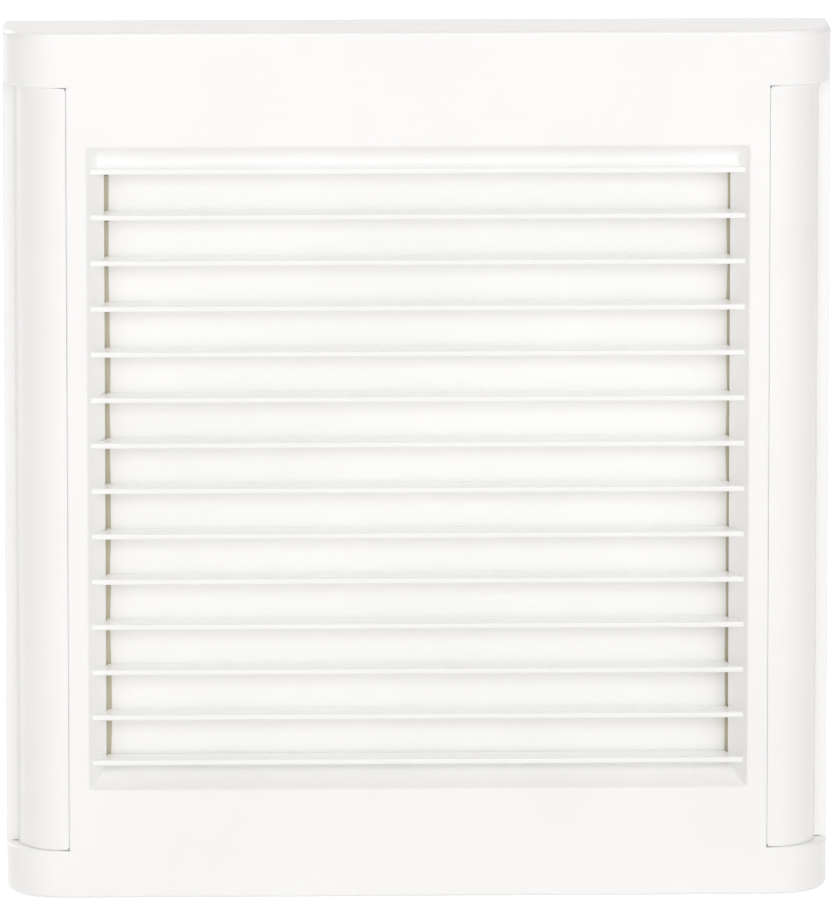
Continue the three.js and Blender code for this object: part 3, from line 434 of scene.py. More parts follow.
def guard_tree():
    """An outdoor guard: rings and ribs of one rounded bar, swept about the fan axis."""
    tree, given = geometry_tree("outdoor guard", [
        ("Ring Count", "Int"), ("Rib Count", "Int"), ("Hub Radius", "Float"), ("Rim Radius", "Float"),
        ("Bar Width", "Float"), ("Bar Depth", "Float")])
    bar = node(tree, "GeometryNodeCurvePrimitiveQuadrilateral",
               {"Width": given["Bar Width"], "Height": given["Bar Depth"]})
    edge = node(tree, "ShaderNodeMath", {0: given["Bar Width"], 1: 0.3}, operation="MULTIPLY")
    profile = node(tree, "GeometryNodeFilletCurve",
                   {"Curve": bar.outputs[0], "Count": 4, "Radius": edge.outputs[0]}, mode="POLY")
    # The rings share the way from the hub to the rim evenly.
    rings = node(tree, "GeometryNodePoints", {"Count": given["Ring Count"]})
    index = node(tree, "GeometryNodeInputIndex")
    way = node(tree, "ShaderNodeMath", {0: given["Rim Radius"], 1: given["Hub Radius"]}, operation="SUBTRACT")
    slots = node(tree, "ShaderNodeMath", {0: given["Ring Count"], 1: 1.0}, operation="ADD")
    step = node(tree, "ShaderNodeMath", {0: way.outputs[0], 1: slots.outputs[0]}, operation="DIVIDE")
    order = node(tree, "ShaderNodeMath", {0: index.outputs[0], 1: 1.0}, operation="ADD")
    radius = node(tree, "ShaderNodeMath", {0: order.outputs[0], 1: step.outputs[0], 2: given["Hub Radius"]},
                  operation="MULTIPLY_ADD")
    circle = node(tree, "GeometryNodeCurvePrimitiveCircle", {"Resolution": 96, "Radius": 1.0})
    hoops = node(tree, "GeometryNodeInstanceOnPoints",
                 {"Points": rings.outputs[0], "Instance": circle.outputs[0], "Scale": radius.outputs[0]})
    hoop_lines = node(tree, "GeometryNodeRealizeInstances", {"Geometry": hoops.outputs[0]})
    # The ribs run from the hub to the rim, the first of them half a step off X.
    start = node(tree, "ShaderNodeCombineXYZ", {"X": given["Hub Radius"]})
    end = node(tree, "ShaderNodeCombineXYZ", {"X": given["Rim Radius"]})
    line = node(tree, "GeometryNodeCurvePrimitiveLine", {"Start": start.outputs[0], "End": end.outputs[0]})
    roots = node(tree, "GeometryNodePoints", {"Count": given["Rib Count"]})
    ribs = node(tree, "GeometryNodeInstanceOnPoints",
                {"Points": roots.outputs[0], "Instance": line.outputs[0]})
    share = node(tree, "ShaderNodeMath", {0: TAU, 1: given["Rib Count"]}, operation="DIVIDE")
    half = node(tree, "ShaderNodeMath", {0: index.outputs[0], 1: 0.5}, operation="ADD")
    angle = node(tree, "ShaderNodeMath", {0: half.outputs[0], 1: share.outputs[0]}, operation="MULTIPLY")
    turn = node(tree, "ShaderNodeCombineXYZ", {"Z": angle.outputs[0]})
    spread = node(tree, "GeometryNodeRotateInstances",
                  {"Instances": ribs.outputs[0], "Rotation": turn.outputs[0], "Local Space": False})
    rib_lines = node(tree, "GeometryNodeRealizeInstances", {"Geometry": spread.outputs[0]})
    lines = node(tree, "GeometryNodeJoinGeometry", {0: [hoop_lines.outputs[0], rib_lines.outputs[0]]})
    bars = node(tree, "GeometryNodeCurveToMesh",
                {"Curve": lines.outputs[0], "Profile Curve": profile.outputs[0], "Fill Caps": True})
    upright = node(tree, "GeometryNodeTransform",
                   {"Geometry": bars.outputs[0], "Rotation": (math.pi / 2, 0, 0)})
    whole = node(tree, "GeometryNodeJoinGeometry", {0: [upright.outputs[0], given["Geometry"]]})
    return close_tree(tree, given, whole.outputs[0])


def coil_tree():
    """A wound coil: hoops of wire in layers, each a little off its place as real turns are."""
    tree, given = geometry_tree("wound coil", [
        ("Turns", "Int"), ("Inner Radius", "Float"), ("Outer Radius", "Float"), ("Depth", "Float"),
        ("Wire", "Float"), ("Seed", "Int")])
    turns = node(tree, "GeometryNodePoints", {"Count": given["Turns"]})
    radius = node(tree, "FunctionNodeRandomValue",
                  {2: given["Inner Radius"], 3: given["Outer Radius"], "Seed": given["Seed"]},
                  data_type="FLOAT")
    depth = node(tree, "FunctionNodeRandomValue", {2: 0.0, 3: given["Depth"], "ID": 7, "Seed": given["Seed"]},
                 data_type="FLOAT")
    lift = node(tree, "ShaderNodeCombineXYZ", {"Z": depth.outputs[1]})
    placed = node(tree, "GeometryNodeSetPosition", {"Geometry": turns.outputs[0], "Offset": lift.outputs[0]})
    circle = node(tree, "GeometryNodeCurvePrimitiveCircle", {"Resolution": 72, "Radius": 1.0})
    tilt = node(tree, "FunctionNodeRandomValue",
                {0: (-0.012, -0.012, 0.0), 1: (0.012, 0.012, 0.0), "Seed": given["Seed"]},
                data_type="FLOAT_VECTOR")
    hoops = node(tree, "GeometryNodeInstanceOnPoints",
                 {"Points": placed.outputs[0], "Instance": circle.outputs[0], "Scale": radius.outputs[1],
                  "Rotation": tilt.outputs[0]})
    lines = node(tree, "GeometryNodeRealizeInstances", {"Geometry": hoops.outputs[0]})
    wire = node(tree, "GeometryNodeCurvePrimitiveCircle", {"Resolution": 6, "Radius": given["Wire"]})
    swept = node(tree, "GeometryNodeCurveToMesh",
                 {"Curve": lines.outputs[0], "Profile Curve": wire.outputs[0]})
    upright = node(tree, "GeometryNodeTransform",
                   {"Geometry": swept.outputs[0], "Rotation": (-math.pi / 2, 0, 0)})
    whole = node(tree, "GeometryNodeJoinGeometry", {0: [upright.outputs[0], given["Geometry"]]})
    return close_tree(tree, given, whole.outputs[0])


def place_tree():
    """A copy of one piece at each point of the mesh, turned by the point's own angle."""
    tree, given = geometry_tree("copies at points", [("Screw", "Object")])
    shape = node(tree, "GeometryNodeObjectInfo", {"Object": given["Screw"]})
    turn = node(tree, "GeometryNodeInputNamedAttribute", {"Name": "turn"}, data_type="FLOAT_VECTOR")
    copies = node(tree, "GeometryNodeInstanceOnPoints",
                  {"Points": given["Geometry"], "Instance": shape.outputs["Geometry"],
                   "Rotation": turn.outputs[0]})
    return close_tree(tree, given, copies.outputs[0])


ROW = row_tree()
CIRCLE = circle_tree()
GUARD = guard_tree()
COIL = coil_tree()
PLACES = place_tree()


# ---- materials ----
def linear(hex_colour):
    """An sRGB hex colour as linear RGBA."""
    parts = [int(hex_colour[i:i + 2], 16) / 255 for i in (1, 3, 5)]
    return tuple(c / 12.92 if c <= 0.04045 else ((c + 0.055) / 1.055) ** 2.4 for c in parts) + (1.0,)


def per_mm(period):
    """The scale of a pattern whose features are this many millimetres apart."""
    return 1 / (period * MM)


def material(name, roughness, metallic=0.0, **sockets):
    """A new material with its shader and the piece's own coordinates."""
    made = bpy.data.materials.new(name)
    made.use_nodes = True
    tree = made.node_tree
    shader = tree.nodes["Principled BSDF"]
    shader.inputs["Roughness"].default_value = roughness
    shader.inputs["Metallic"].default_value = metallic
    for key, value in sockets.items():
        shader.inputs[key.replace("_", " ")].default_value = value
    place = node(tree, "ShaderNodeTexCoord").outputs["Object"]
    return made, tree, shader, place


def mottle(tree, shader, place, period, dark, light, low=0.35, high=0.65, detail=3.0):
    """Lets the colour drift between two close tones."""
    drift = node(tree, "ShaderNodeTexNoise", {"Vector": place, "Scale": per_mm(period), "Detail": detail})
    share = node(tree, "ShaderNodeMapRange", {"Value": drift.outputs[0], "From Min": low, "From Max": high})
    blend = node(tree, "ShaderNodeMix", {0: share.outputs[0], 6: linear(dark), 7: linear(light)},
                 data_type="RGBA")
    tree.links.new(blend.outputs[2], shader.inputs["Base Color"])


def cloud(tree, shader, place, period, low, high):
    """Lets the gloss drift between two values of roughness."""
    haze = node(tree, "ShaderNodeTexNoise", {"Vector": place, "Scale": per_mm(period), "Detail": 4.0})
    sheen = node(tree, "ShaderNodeMapRange", {"Value": haze.outputs[0], "To Min": low, "To Max": high})
    tree.links.new(sheen.outputs[0], shader.inputs["Roughness"])


def relief(tree, shader, pattern, strength, depth):
    """Turns a pattern into fine relief."""
    bump = node(tree, "ShaderNodeBump",
                {"Height": pattern.outputs[0], "Strength": strength, "Distance": depth})
    tree.links.new(bump.outputs[0], shader.inputs["Normal"])


def grain(tree, shader, place, period, strength, depth=0.05 * MM, detail=2.0):
    bumps = node(tree, "ShaderNodeTexNoise", {"Vector": place, "Scale": per_mm(period), "Detail": detail})
    relief(tree, shader, bumps, strength, depth)


def lines_along_axis(tree, shader, place, period, waver, detail, strength, depth):
    """Fine rings about the fan axis, so many millimetres apart."""
    wave = node(tree, "ShaderNodeTexWave",
                {"Vector": place, "Scale": per_mm(period) / TAU, "Distortion": waver, "Detail": detail},
                bands_direction="Y")
    relief(tree, shader, wave, strength, depth)


def moulded(name, dark, light, roughness, texture):
    """Injection-moulded plastic: an even colour with a satin face and a fine eroded grain."""
    made, tree, shader, place = material(name, roughness, IOR=1.53)
    mottle(tree, shader, place, 60, dark, light)
    cloud(tree, shader, place, 25, roughness - 0.04, roughness + 0.05)
    grain(tree, shader, place, 0.6, texture)
    return made


def closed_cell_foam():
    """EPDM foam: charcoal and matt, with the pits of cut cells drawn 0.9 mm apart so that they show."""
    made, tree, shader, place = material("charcoal_closed_cell_EPDM_foam", 0.93, IOR=1.5)
    mottle(tree, shader, place, 4, "#232425", "#343536")
    pits = node(tree, "ShaderNodeTexVoronoi", {"Vector": place, "Scale": per_mm(0.9)})
    relief(tree, shader, pits, 0.9, 0.25 * MM)
    return made


def powder_coat():
    """Grey polyester powder coat on sheet steel: low gloss with a faint orange peel."""
    made, tree, shader, place = material("grey_powder_coated_sheet_steel", 0.45, IOR=1.5)
    mottle(tree, shader, place, 30, "#8b8e90", "#96999b")
    grain(tree, shader, place, 1.6, 0.25, 0.12 * MM)
    return made


def die_cast():
    """Die-cast aluminium alloy: dull light grey, blotched by the die, with a fine sandy skin."""
    made, tree, shader, place = material("die_cast_aluminium_alloy", 0.46, 1.0)
    mottle(tree, shader, place, 9, "#9a9ca0", "#b9bbbe", 0.3, 0.7, 6)
    grain(tree, shader, place, 0.7, 0.35, 0.1 * MM, 5)
    return made


def steel_stack():
    """Stamped silicon steel, stacked: 0.5 mm sheets drawn 1 mm apart so that they show, with blue scale."""
    made, tree, shader, place = material("stacked_silicon_steel_sheets", 0.42, 1.0)
    mottle(tree, shader, place, 12, "#6d7278", "#868b91", 0.3, 0.7, 5)
    lines_along_axis(tree, shader, place, 1, 0.4, 2.0, 0.6, 0.15 * MM)
    return made


def enamelled_copper():
    """Magnet wire: copper under a clear amber enamel, each turn a slightly different brown."""
    made, tree, shader, place = material("enamelled_copper_wire", 0.28, 1.0,
                                         Coat_Weight=0.6, Coat_Roughness=0.15)
    mottle(tree, shader, place, 1.5, "#8a4a22", "#b3683a", 0.3, 0.7)
    grain(tree, shader, place, 0.8, 0.2)
    return made


def ground_steel():
    """Ground bearing steel: bright, with the fine rings that a grinding wheel leaves about the axis."""
    made, tree, shader, place = material("ground_bearing_steel", 0.22, 1.0)
    mottle(tree, shader, place, 8, "#b9bcc0", "#c8cacd")
    lines_along_axis(tree, shader, place, 0.8, 1.5, 3.0, 0.15, 0.03 * MM)
    return made


def zinc_plate():
    """Bright zinc plating with a clear blue passivate: cool silver with a cloudy sheen."""
    made, tree, shader, place = material("blue_passivated_zinc_plate", 0.3, 1.0)
    mottle(tree, shader, place, 2.5, "#a9b0b8", "#c3c7c9", 0.35, 0.65, 4)
    cloud(tree, shader, place, 1.2, 0.22, 0.42)
    return made


def pvc_jacket():
    """Extruded PVC sheath: ivory and waxy, with a faint grain."""
    made, tree, shader, place = material("ivory_extruded_PVC_sheath", 0.5, IOR=1.52, Subsurface_Weight=0.05)
    mottle(tree, shader, place, 10, "#dcd9cc", "#e6e3d8")
    grain(tree, shader, place, 0.7, 0.15)
    return made


CASE_ABS = moulded("white_satin_moulded_ABS", "#fcfcfb", "#fefefd", 0.24, 0.05)
FLAP_ABS = moulded("thin_warm_white_moulded_ABS", "#fcfcfa", "#fefefc", 0.4, 0.06)
# The tan of this plastic is painted shade: it stands for the shade in the gaps beside the flaps' ends. The
# link and the terminal cover share it.
SHADE_TAN_PP = moulded("tan_grained_polypropylene", "#c0b9a3", "#cac4af", 0.45, 0.15)
IMPELLER_PP = moulded("light_grey_moulded_polypropylene", "#d3d4d1", "#dadbd8", 0.4, 0.08)
BLACK_PA = moulded("black_moulded_polyamide", "#1c1d1f", "#232426", 0.46, 0.2)
FOAM = closed_cell_foam()
COATED = powder_coat()
CAST = die_cast()
SHEETS = steel_stack()
COPPER = enamelled_copper()
GROUND = ground_steel()
ZINC = zinc_plate()
PVC = pvc_jacket()


def dress(piece, body, slot, finish, *nodes):
    """Gives a finished piece its finish, its body and the nodes that it stands for."""
    piece.data.materials.clear()
    piece.data.materials.append(finish)
    for face in piece.data.polygons:
        face.material_index = 0
    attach(piece, body)
    if nodes:
        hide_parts(*nodes)
    return piece


def plain(name, edge_r, body, slot, finish):
    """The part's own solid with its edges rounded over."""
    dress(refined(name, edge_r * MM), body, slot, finish, name)


# ---- front cover ----
def cover_plan(half_w, front, back, r, knee):
    """Outline seen from above, with a knee on the front face beside each parting line."""
    left = arc(-half_w + r, front + r, r, 180, 270, 12)
    right = arc(half_w - r, front + r, r, 270, 360, 12)
    mid = PANEL_HALF - PANEL_EDGE_R
    return ([(-half_w, back)] + left + [(-knee, front), (-mid, front)]
            + [(mid, front), (knee, front)] + right + [(half_w, back)])


def cap_ring(z, inset_x, inset_y, faded=0.0):
    """A cap's outline at one height. Faded draws in only what stands out over the columns."""
    ring = []
    for x, y in cover_plan(HALF_W - inset_x, FRONT + inset_y, COVER_EDGE_Y, CAP_CORNER_R - inset_x,
                           PANEL_HALF + PANEL_EDGE_R):
        if abs(x) > PANEL_HALF and faded:
            y = min(y + faded, COVER_EDGE_Y)
            x -= math.copysign(faded if abs(x) > HALF_W - CAP_CORNER_R else 0, x)
        ring.append((x, y, z))
    return ring


def cap_end(end, way):
    """The rounding at the cover's top or bottom, from the flat end inwards."""
    rings = []
    for k in range(9):
        rise = CASE_EDGE_R * math.sin(math.radians(90 * k / 8))
        inset_x = CASE_EDGE_R - math.sqrt(max(CASE_EDGE_R ** 2 - rise ** 2, 0))
        over = max(rise - (CASE_EDGE_R - CAP_FRONT_R), 0)
        inset_y = CAP_FRONT_R - math.sqrt(max(CAP_FRONT_R ** 2 - over ** 2, 0))
        rings.append(cap_ring(end - way * (CASE_EDGE_R - rise), inset_x, inset_y))
    return rings


def cap_lip(z, way):
    """The rounding of a cap's edge over the columns."""
    rings = []
    for k in range(5):
        a = math.radians(90 * k / 4)
        rings.append(cap_ring(z + way * CAP_LIP_R * (1 - math.sin(a)), 0, 0, CAP_LIP_R * (1 - math.cos(a))))
    return rings


def panel_ring(z):
    plan = cover_plan(PANEL_HALF, FRONT, FRONT + SKIRT, PANEL_EDGE_R, PANEL_HALF - PANEL_EDGE_R)
    return [(x, y, z) for x, y in plan]


def cap_room(z0, z1):
    """The hollow inside a cap."""
    plan = cover_plan(HALF_W - WALL, FRONT + WALL, COVER_EDGE_Y + WALL, CAP_CORNER_R - WALL, PANEL_HALF)
    return loft("room", [[(x, y, z) for x, y in plan] for z in (z0 + WALL, z1 - WALL)])


def cover_shell():
    """Both caps and the panel between them, hollow from behind."""
    rings = list(reversed(cap_end(CASE_TOP, 1))) + cap_lip(CAP_TOP_Z, 1) + [panel_ring(CAP_TOP_Z)]
    rings += [panel_ring(CAP_BOTTOM_Z)] + list(reversed(cap_lip(CAP_BOTTOM_Z, -1))) + cap_end(CASE_BOTTOM, -1)
    body = loft("front_cover_shell", [list(reversed(ring)) for ring in rings])
    panel_room = slab("room", -PANEL_HALF + WALL, PANEL_HALF - WALL, FRONT + WALL, RIM_Y,
                      CASE_BOTTOM + WALL, CASE_TOP - WALL, 1 * MM)
    return combine(body, cut=[cap_room(CAP_TOP_Z, CASE_TOP), cap_room(CASE_BOTTOM, CAP_BOTTOM_Z), panel_room])


def funnel(name, stations):
    """A body round the recess, from stations of (y, how far the recess has drawn in, corner radius)."""
    rings = []
    for y, draw, corner in stations:
        outline = round_rect(-RECESS_HALF + draw, RECESS_HALF - draw, RECESS_BOTTOM + draw, RECESS_TOP - draw,
                             corner, 5)
        rings.append([(x, y, z) for x, z in outline])
    return loft(name, rings)


def recess(body):
    """Gives the cover the sloped walls of the recess, with a soft front edge."""
    wall = funnel("wall", [(FRONT + WALL / 2, -WALL, WALL), (BEVEL_END_Y, BEVEL_WIDTH - WALL, WALL)])
    stations = [(FRONT - 2 * MM, -MOUTH_R * 0.9, MOUTH_R)]
    for k in range(6):
        t = k / 5
        draw = -MOUTH_R * 0.62 * (1 - t) ** 2 + SLOPE * MOUTH_R * t
        stations.append((FRONT + MOUTH_R * t ** 1.6, draw, MOUTH_R))
    stations.append((BEVEL_END_Y + PAST, BEVEL_WIDTH + SLOPE * PAST, 0.6 * MM))
    combine(body, add=[wall], cut=[funnel("hollow", stations)])


def web_section(edge, bar, way):
    """Side view, as (depth, z), of the wall that joins an outermost bar to the sloped wall beyond it."""
    root, back, web_t = BEVEL_DEPTH - 0.4 * MM, BAR_BACK - 0.3 * MM, 1.2 * MM
    mouth = edge - way * SLOPE * root
    return [(root, mouth), (back, bar + way * BAR_T * 0.4), (back, mouth + way * web_t),
            (root, mouth + way * web_t)]


def cove_section(edge, bar):
    """The same above the highest bar, where the sloped wall runs into the bar in one hollow curve."""
    _, (back, _), *behind = web_section(edge, bar, 1)
    start, end = edge - SLOPE * COVE_START, bar + BAR_T / 2 - 0.1 * MM
    curve = bezier([(COVE_START, start), (8.9 * MM, start - 2.33 * MM), (9.6 * MM, end + 0.3 * MM),
                    (COVE_END, end)], 14)
    return curve + [(COVE_END, bar), (back, bar)] + behind + [(COVE_START, start + 0.7 * MM)]


def recess_half(depth):
    """Half the recess's width at a depth, with what runs into its sloped walls."""
    return RECESS_HALF - SLOPE * depth + BAR_ROOT


def front_cover():
    """The shell with the walls of the recess, the webs beyond its outer bars and the four posts."""
    body = cover_shell()
    recess(body)
    for section in (cove_section(RECESS_TOP, BAR_TOP_Z), web_section(RECESS_BOTTOM, BAR_BOTTOM_Z, -1)):
        rings = [[(side * max(recess_half(d), THROAT_HALF + GAP), FRONT + d, z) for d, z in section]
                 for side in (-1, 1)]
        combine(body, add=[loft("web", rings)])
    combine(body, add=[rod("post", POST_R, FRONT + WALL / 2, POST_TIP_Y, x, z, 24, 0, 0.6 * MM)
                       for x, z in post_places()])
    return dress(smooth(body), "cover", "case_plastic", CASE_ABS, "front_cover")


def post_places():
    heights = (RECESS_TOP + POST_SETOUT, RECESS_BOTTOM - POST_SETOUT)
    return [(side * RECESS_HALF, z) for side in (-1, 1) for z in heights]


def cover_bars():
    """One bar with rounded edges and roots that follow the sloped walls, repeated down the recess."""
    depth, spacing = BAR_BACK - BAR_SETBACK, 0.4 * MM
    outline = round_rect(0, depth, -BAR_T / 2, BAR_T / 2, BAR_EDGE_R, 4)
    section = [(BAR_SETBACK + d, h) for d, h in outline]
    dense = []
    for (d0, h0), (d1, h1) in zip(section, section[1:] + section[:1]):
        cuts = max(1, round(math.hypot(d1 - d0, h1 - h0) / spacing))
        dense += [(d0 + (d1 - d0) * k / cuts, h0 + (h1 - h0) * k / cuts) for k in range(cuts)]
    halves = [recess_half(d) if d <= BEVEL_DEPTH - GAP else THROAT_HALF - GAP for d, _ in dense]
    ends = [[(side * half, FRONT + d, BAR_TOP_Z + h) for half, (d, h) in zip(halves, dense)]
            for side in (-1, 1)]
    bar = loft("front_cover_bars", ends)
    grow(bar, ROW, CASE_ABS, count=BAR_COUNT, step=(0, 0, -BAR_PITCH))
    return dress(smooth(bar), "cover", "case_plastic", CASE_ABS)


# ---- indoor case ----
def column_plan(inset):
    """A column seen from above, with its crest beside the panel."""
    inner, step_y = PANEL_HALF + GAP + inset, RIM_Y + inset
    face = arc(inner, step_y, COLUMN_SPREAD - 2 * inset, -90, 0, 16, COLUMN_DEPTH - inset)
    return [(inner, FLOOR_Y)] + face + [(HALF_W - WALL - inset, step_y), (HALF_W - WALL - inset, FLOOR_Y)]


def column(side):
    low, high = CAP_BOTTOM_Z + SEAM, CAP_TOP_Z - SEAM
    steps = soft_steps(low, high, COLUMN_END_R, COLUMN_END_R, 3)
    outer = [[(side * x, y, z) for x, y in column_plan(inset)] for z, inset in steps]
    inner = [[(side * x, y, z) for x, y in column_plan(WALL)] for z in (low - PAST, high + PAST)]
    return combine(loft("column", outer), cut=[loft("inside", inner)])


def bead(side):
    """A bead on the column that closes most of the parting line beside the panel."""
    low, high = sorted(side * (PANEL_HALF + GAP + reach) for reach in (-0.22 * MM, 1 * MM))
    return slab("bead", low, high, FRONT + BEAD_SETBACK, FRONT + 3 * MM,
                CAP_BOTTOM_Z + 1 * MM, CAP_TOP_Z - 1 * MM, 0.02 * MM)


def gland_hole():
    low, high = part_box("cable_gland")
    hole = rod("hole", GLAND_HOLE_R, -WALL * 2, WALL * 2, 0, 0, 40)
    hole.data.transform(Matrix.Rotation(math.pi / 2, 4, "X"))
    return moved(hole, (low.x + high.x) / 2, (low.y + high.y) / 2, CASE_BOTTOM)


def inner_housing():
    """The indoor case: back wall with the air way, side walls, the step all round and the two columns."""
    body = slab("inner_housing_shell", -HALF_W, HALF_W, RIM_Y, CASE_BACK, CASE_BOTTOM, CASE_TOP, CASE_EDGE_R,
                0.5 * MM, 1 * MM)
    room = slab("room", -HALF_W + WALL, HALF_W - WALL, RIM_Y - PAST, FLOOR_Y,
                CASE_BOTTOM + WALL, CASE_TOP - WALL, CASE_EDGE_R / 2)
    combine(body, cut=[room])
    for make in (column, bead):
        for side in (-1, 1):
            combine(body, add=[make(side)])
    bosses, holes = [], []
    for x, z in post_places():
        mouth = FLOOR_Y - SOCKET_L
        bosses.append(rod("socket", POST_R + RUN + WALL, mouth, FLOOR_Y + WALL / 2, x, z, 32, 0.4 * MM))
        holes.append(rod("hole", POST_R + RUN, mouth - PAST, FLOOR_Y - WALL / 2, x, z, 32))
    for x in (-EAR_X, EAR_X):
        for z in (EAR_TOP_Z, EAR_BOTTOM_Z):
            bosses.append(rod("boss", EAR_BOSS_R, EAR_BOSS_Y, FLOOR_Y + WALL / 2, x, z, 28, 0.3 * MM))
            holes.append(rod("hole", SCREW_HOLE_R, EAR_BOSS_Y - PAST, FLOOR_Y - WALL / 4, x, z, 24))
    holes.append(gland_hole())
    holes.append(rod("hole", DUCT_R, FLOOR_Y - PAST, CASE_BACK + PAST, sides=128))
    for k in range(4):
        x, z = on_circle(TIE_CIRCLE_R, k, shift=0.5)
        holes.append(rod("hole", SCREW_HOLE_R, FLOOR_Y - PAST, CASE_BACK + PAST, x, z, 24))
    combine(body, add=bosses, cut=holes)
    return dress(smooth(body), "case", "case_plastic", CASE_ABS, "inner_housing")


# ---- shutter ----
def hinge_z(i):
    return BAR_TOP_Z - i * BAR_PITCH - 0.4 * MM - BARREL_R


def slant(i):
    """Where the slanted end of a flap starts and stops, between the pins above and below it."""
    return hinge_z(i - 1) - FLAP_END_ROOM, hinge_z(i) + FLAP_END_ROOM


def flap_ends():
    """How far each flap's ends reach out at their top and bottom: no two are quite alike."""
    draw = random.Random(5)
    ends = {}
    for i in range(1, BAR_COUNT):
        for side, reach in ((-1, 0.1), (1, 1.0)):
            ends[i, side] = [(reach + draw.uniform(-0.3, 0.3)) * MM for _ in range(2)]
    return ends


ENDS = flap_ends()


def flaps():
    """Each flap is the part's own, with rounded edges and its two ends drawn to their own slant."""
    for i in range(1, BAR_COUNT):
        name = f"louvre_flap_{i:02d}"
        piece = refined(name, 0.25 * MM, angle=40)
        high_z, low_z = slant(i)
        shape = bmesh.new()
        shape.from_mesh(piece.data)
        whole = list(shape.verts) + list(shape.edges) + list(shape.faces)
        bmesh.ops.bisect_plane(shape, geom=whole, dist=1e-7, plane_co=(0, 0, high_z), plane_no=(0, 0, 1))
        shape.to_mesh(piece.data)
        shape.free()
        for vertex in piece.data.vertices:
            x, _, z = vertex.co
            if FLAP_HALF - 0.5 * MM < abs(x) < FLAP_HALF + 0.01 * MM and z < high_z + 0.001 * MM:
                side = 1 if x > 0 else -1
                top, bottom = ENDS[i, side]
                share = min(max((high_z - z) / (high_z - low_z), 0), 1)
                vertex.co.x += side * (top + (bottom - top) * share)
        dress(piece, f"louvre_{i:02d}", "flap_plastic", FLAP_ABS, name)


def shutter_frame():
    """The frame, and between the pins a thin rib with a lip that each flap's end closes against. Frame and
    ribs are tan as painted shade: the tan stands for the shade in the gaps beside the flaps' ends.
    """
    plain("shutter_frame", 0.3, "case", "frame_plastic", SHADE_TAN_PP)
    outer, face = THROAT_HALF + 0.65 * MM, HINGE_Y - FLAP_T
    lip, clear = -0.2 * MM, 0.1 * MM
    stations = [(face - 0.5 * MM, lip), (face - 0.1 * MM, lip), (face - 0.1 * MM, clear),
                (HINGE_Y + 0.2 * MM, clear)]
    ribs = None
    # Each rib's tan fills the gap beside a flap's end, where there is only shade: painted shade.
    for (i, side), (top, bottom) in ENDS.items():
        high_z, low_z = slant(i)
        rings = []
        for y, room in stations:
            corners = [(FLAP_HALF + bottom + room, low_z), (outer, low_z), (outer, high_z),
                       (FLAP_HALF + top + room, high_z)]
            rings.append([(side * x, y, z) for x, z in corners])
        rib = loft("shutter_side_ribs", rings)
        ribs = combine(ribs, add=[rib]) if ribs else rib
    dress(smooth(ribs), "case", "frame_plastic", SHADE_TAN_PP)


# ---- clamp, sleeve and guard ----
def gasket(name):
    low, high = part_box(name)
    profile = rounded(ring_section(GASKET_R, high.x, low.y, high.y), [0.7 * MM] * 4)
    dress(smooth(spun(name + "_ring", profile, 160)), "case", "gasket_foam", FOAM, name)


def outer_housing():
    """The outdoor sleeve with its flange, rolled rim, screw bosses and the pads for the motor's arms."""
    low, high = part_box("outer_housing")
    flange_end, flange_r = FLANGE_Y + FLANGE_T, high.x
    rim_y, rim_r = high.y - 4 * MM, 112 * MM
    outline = [(DUCT_R, low.y), (SLEEVE_R, low.y), (SLEEVE_R, FLANGE_Y), (flange_r, FLANGE_Y),
               (flange_r, flange_end), (SLEEVE_R, flange_end), (SLEEVE_R, rim_y), (rim_r, rim_y),
               (rim_r, high.y), (DUCT_R, high.y)]
    soft = [edge * MM for edge in (0.6, 0.6, 0.8, 0.8, 1.2, 2.0, 1.5, 1.2, 1.5, 1.5)]
    body = spun("outer_housing_sleeve", rounded(outline, soft, 3), 144)
    bosses, holes = [], []
    for k in range(4):
        x, z = on_circle(TIE_CIRCLE_R, k, shift=0.5)
        bosses.append(rod("boss", 4.4 * MM, 1 * MM, FLANGE_Y + FLANGE_T / 2, x, z, 32, 0.4 * MM))
        holes.append(rod("hole", SCREW_HOLE_R, 0, FLANGE_Y + 2 * MM, x, z, 20))
        x, z = on_circle(GUARD_BOLT_R, k)
        holes.append(rod("hole", GUARD_HOLE_R, rim_y - PAST, high.y + PAST, x, z, 20))
        pad = slab("pad", DUCT_R - 12 * MM, DUCT_R + 1 * MM, PAD_Y, PAD_Y + PAD_L, -5.5 * MM, 5.5 * MM,
                   1.2 * MM, 0.3 * MM, 0.8 * MM)
        bosses.append(turned(pad, k))
        x, z = on_circle(ARM_BOLT_R, k)
        holes.append(rod("hole", SCREW_HOLE_R, PAD_Y - 1.3 * MM, PAD_Y + PAD_L - 1 * MM, x, z, 20))
    combine(body, add=bosses, cut=holes)
    dress(smooth(body), "case", "case_plastic", CASE_ABS, "outer_housing")
    rib = slab("outer_housing_ribs", SLEEVE_R - 0.4 * MM, SLEEVE_R + 1.6 * MM, flange_end - GAP, rim_y + GAP,
               -0.9 * MM, 0.9 * MM, 0.4 * MM, 0.2 * MM, 0.2 * MM)
    grow(rib, CIRCLE, CASE_ABS, count=16, first_angle=TAU / 32)
    dress(smooth(rib), "case", "case_plastic", CASE_ABS)


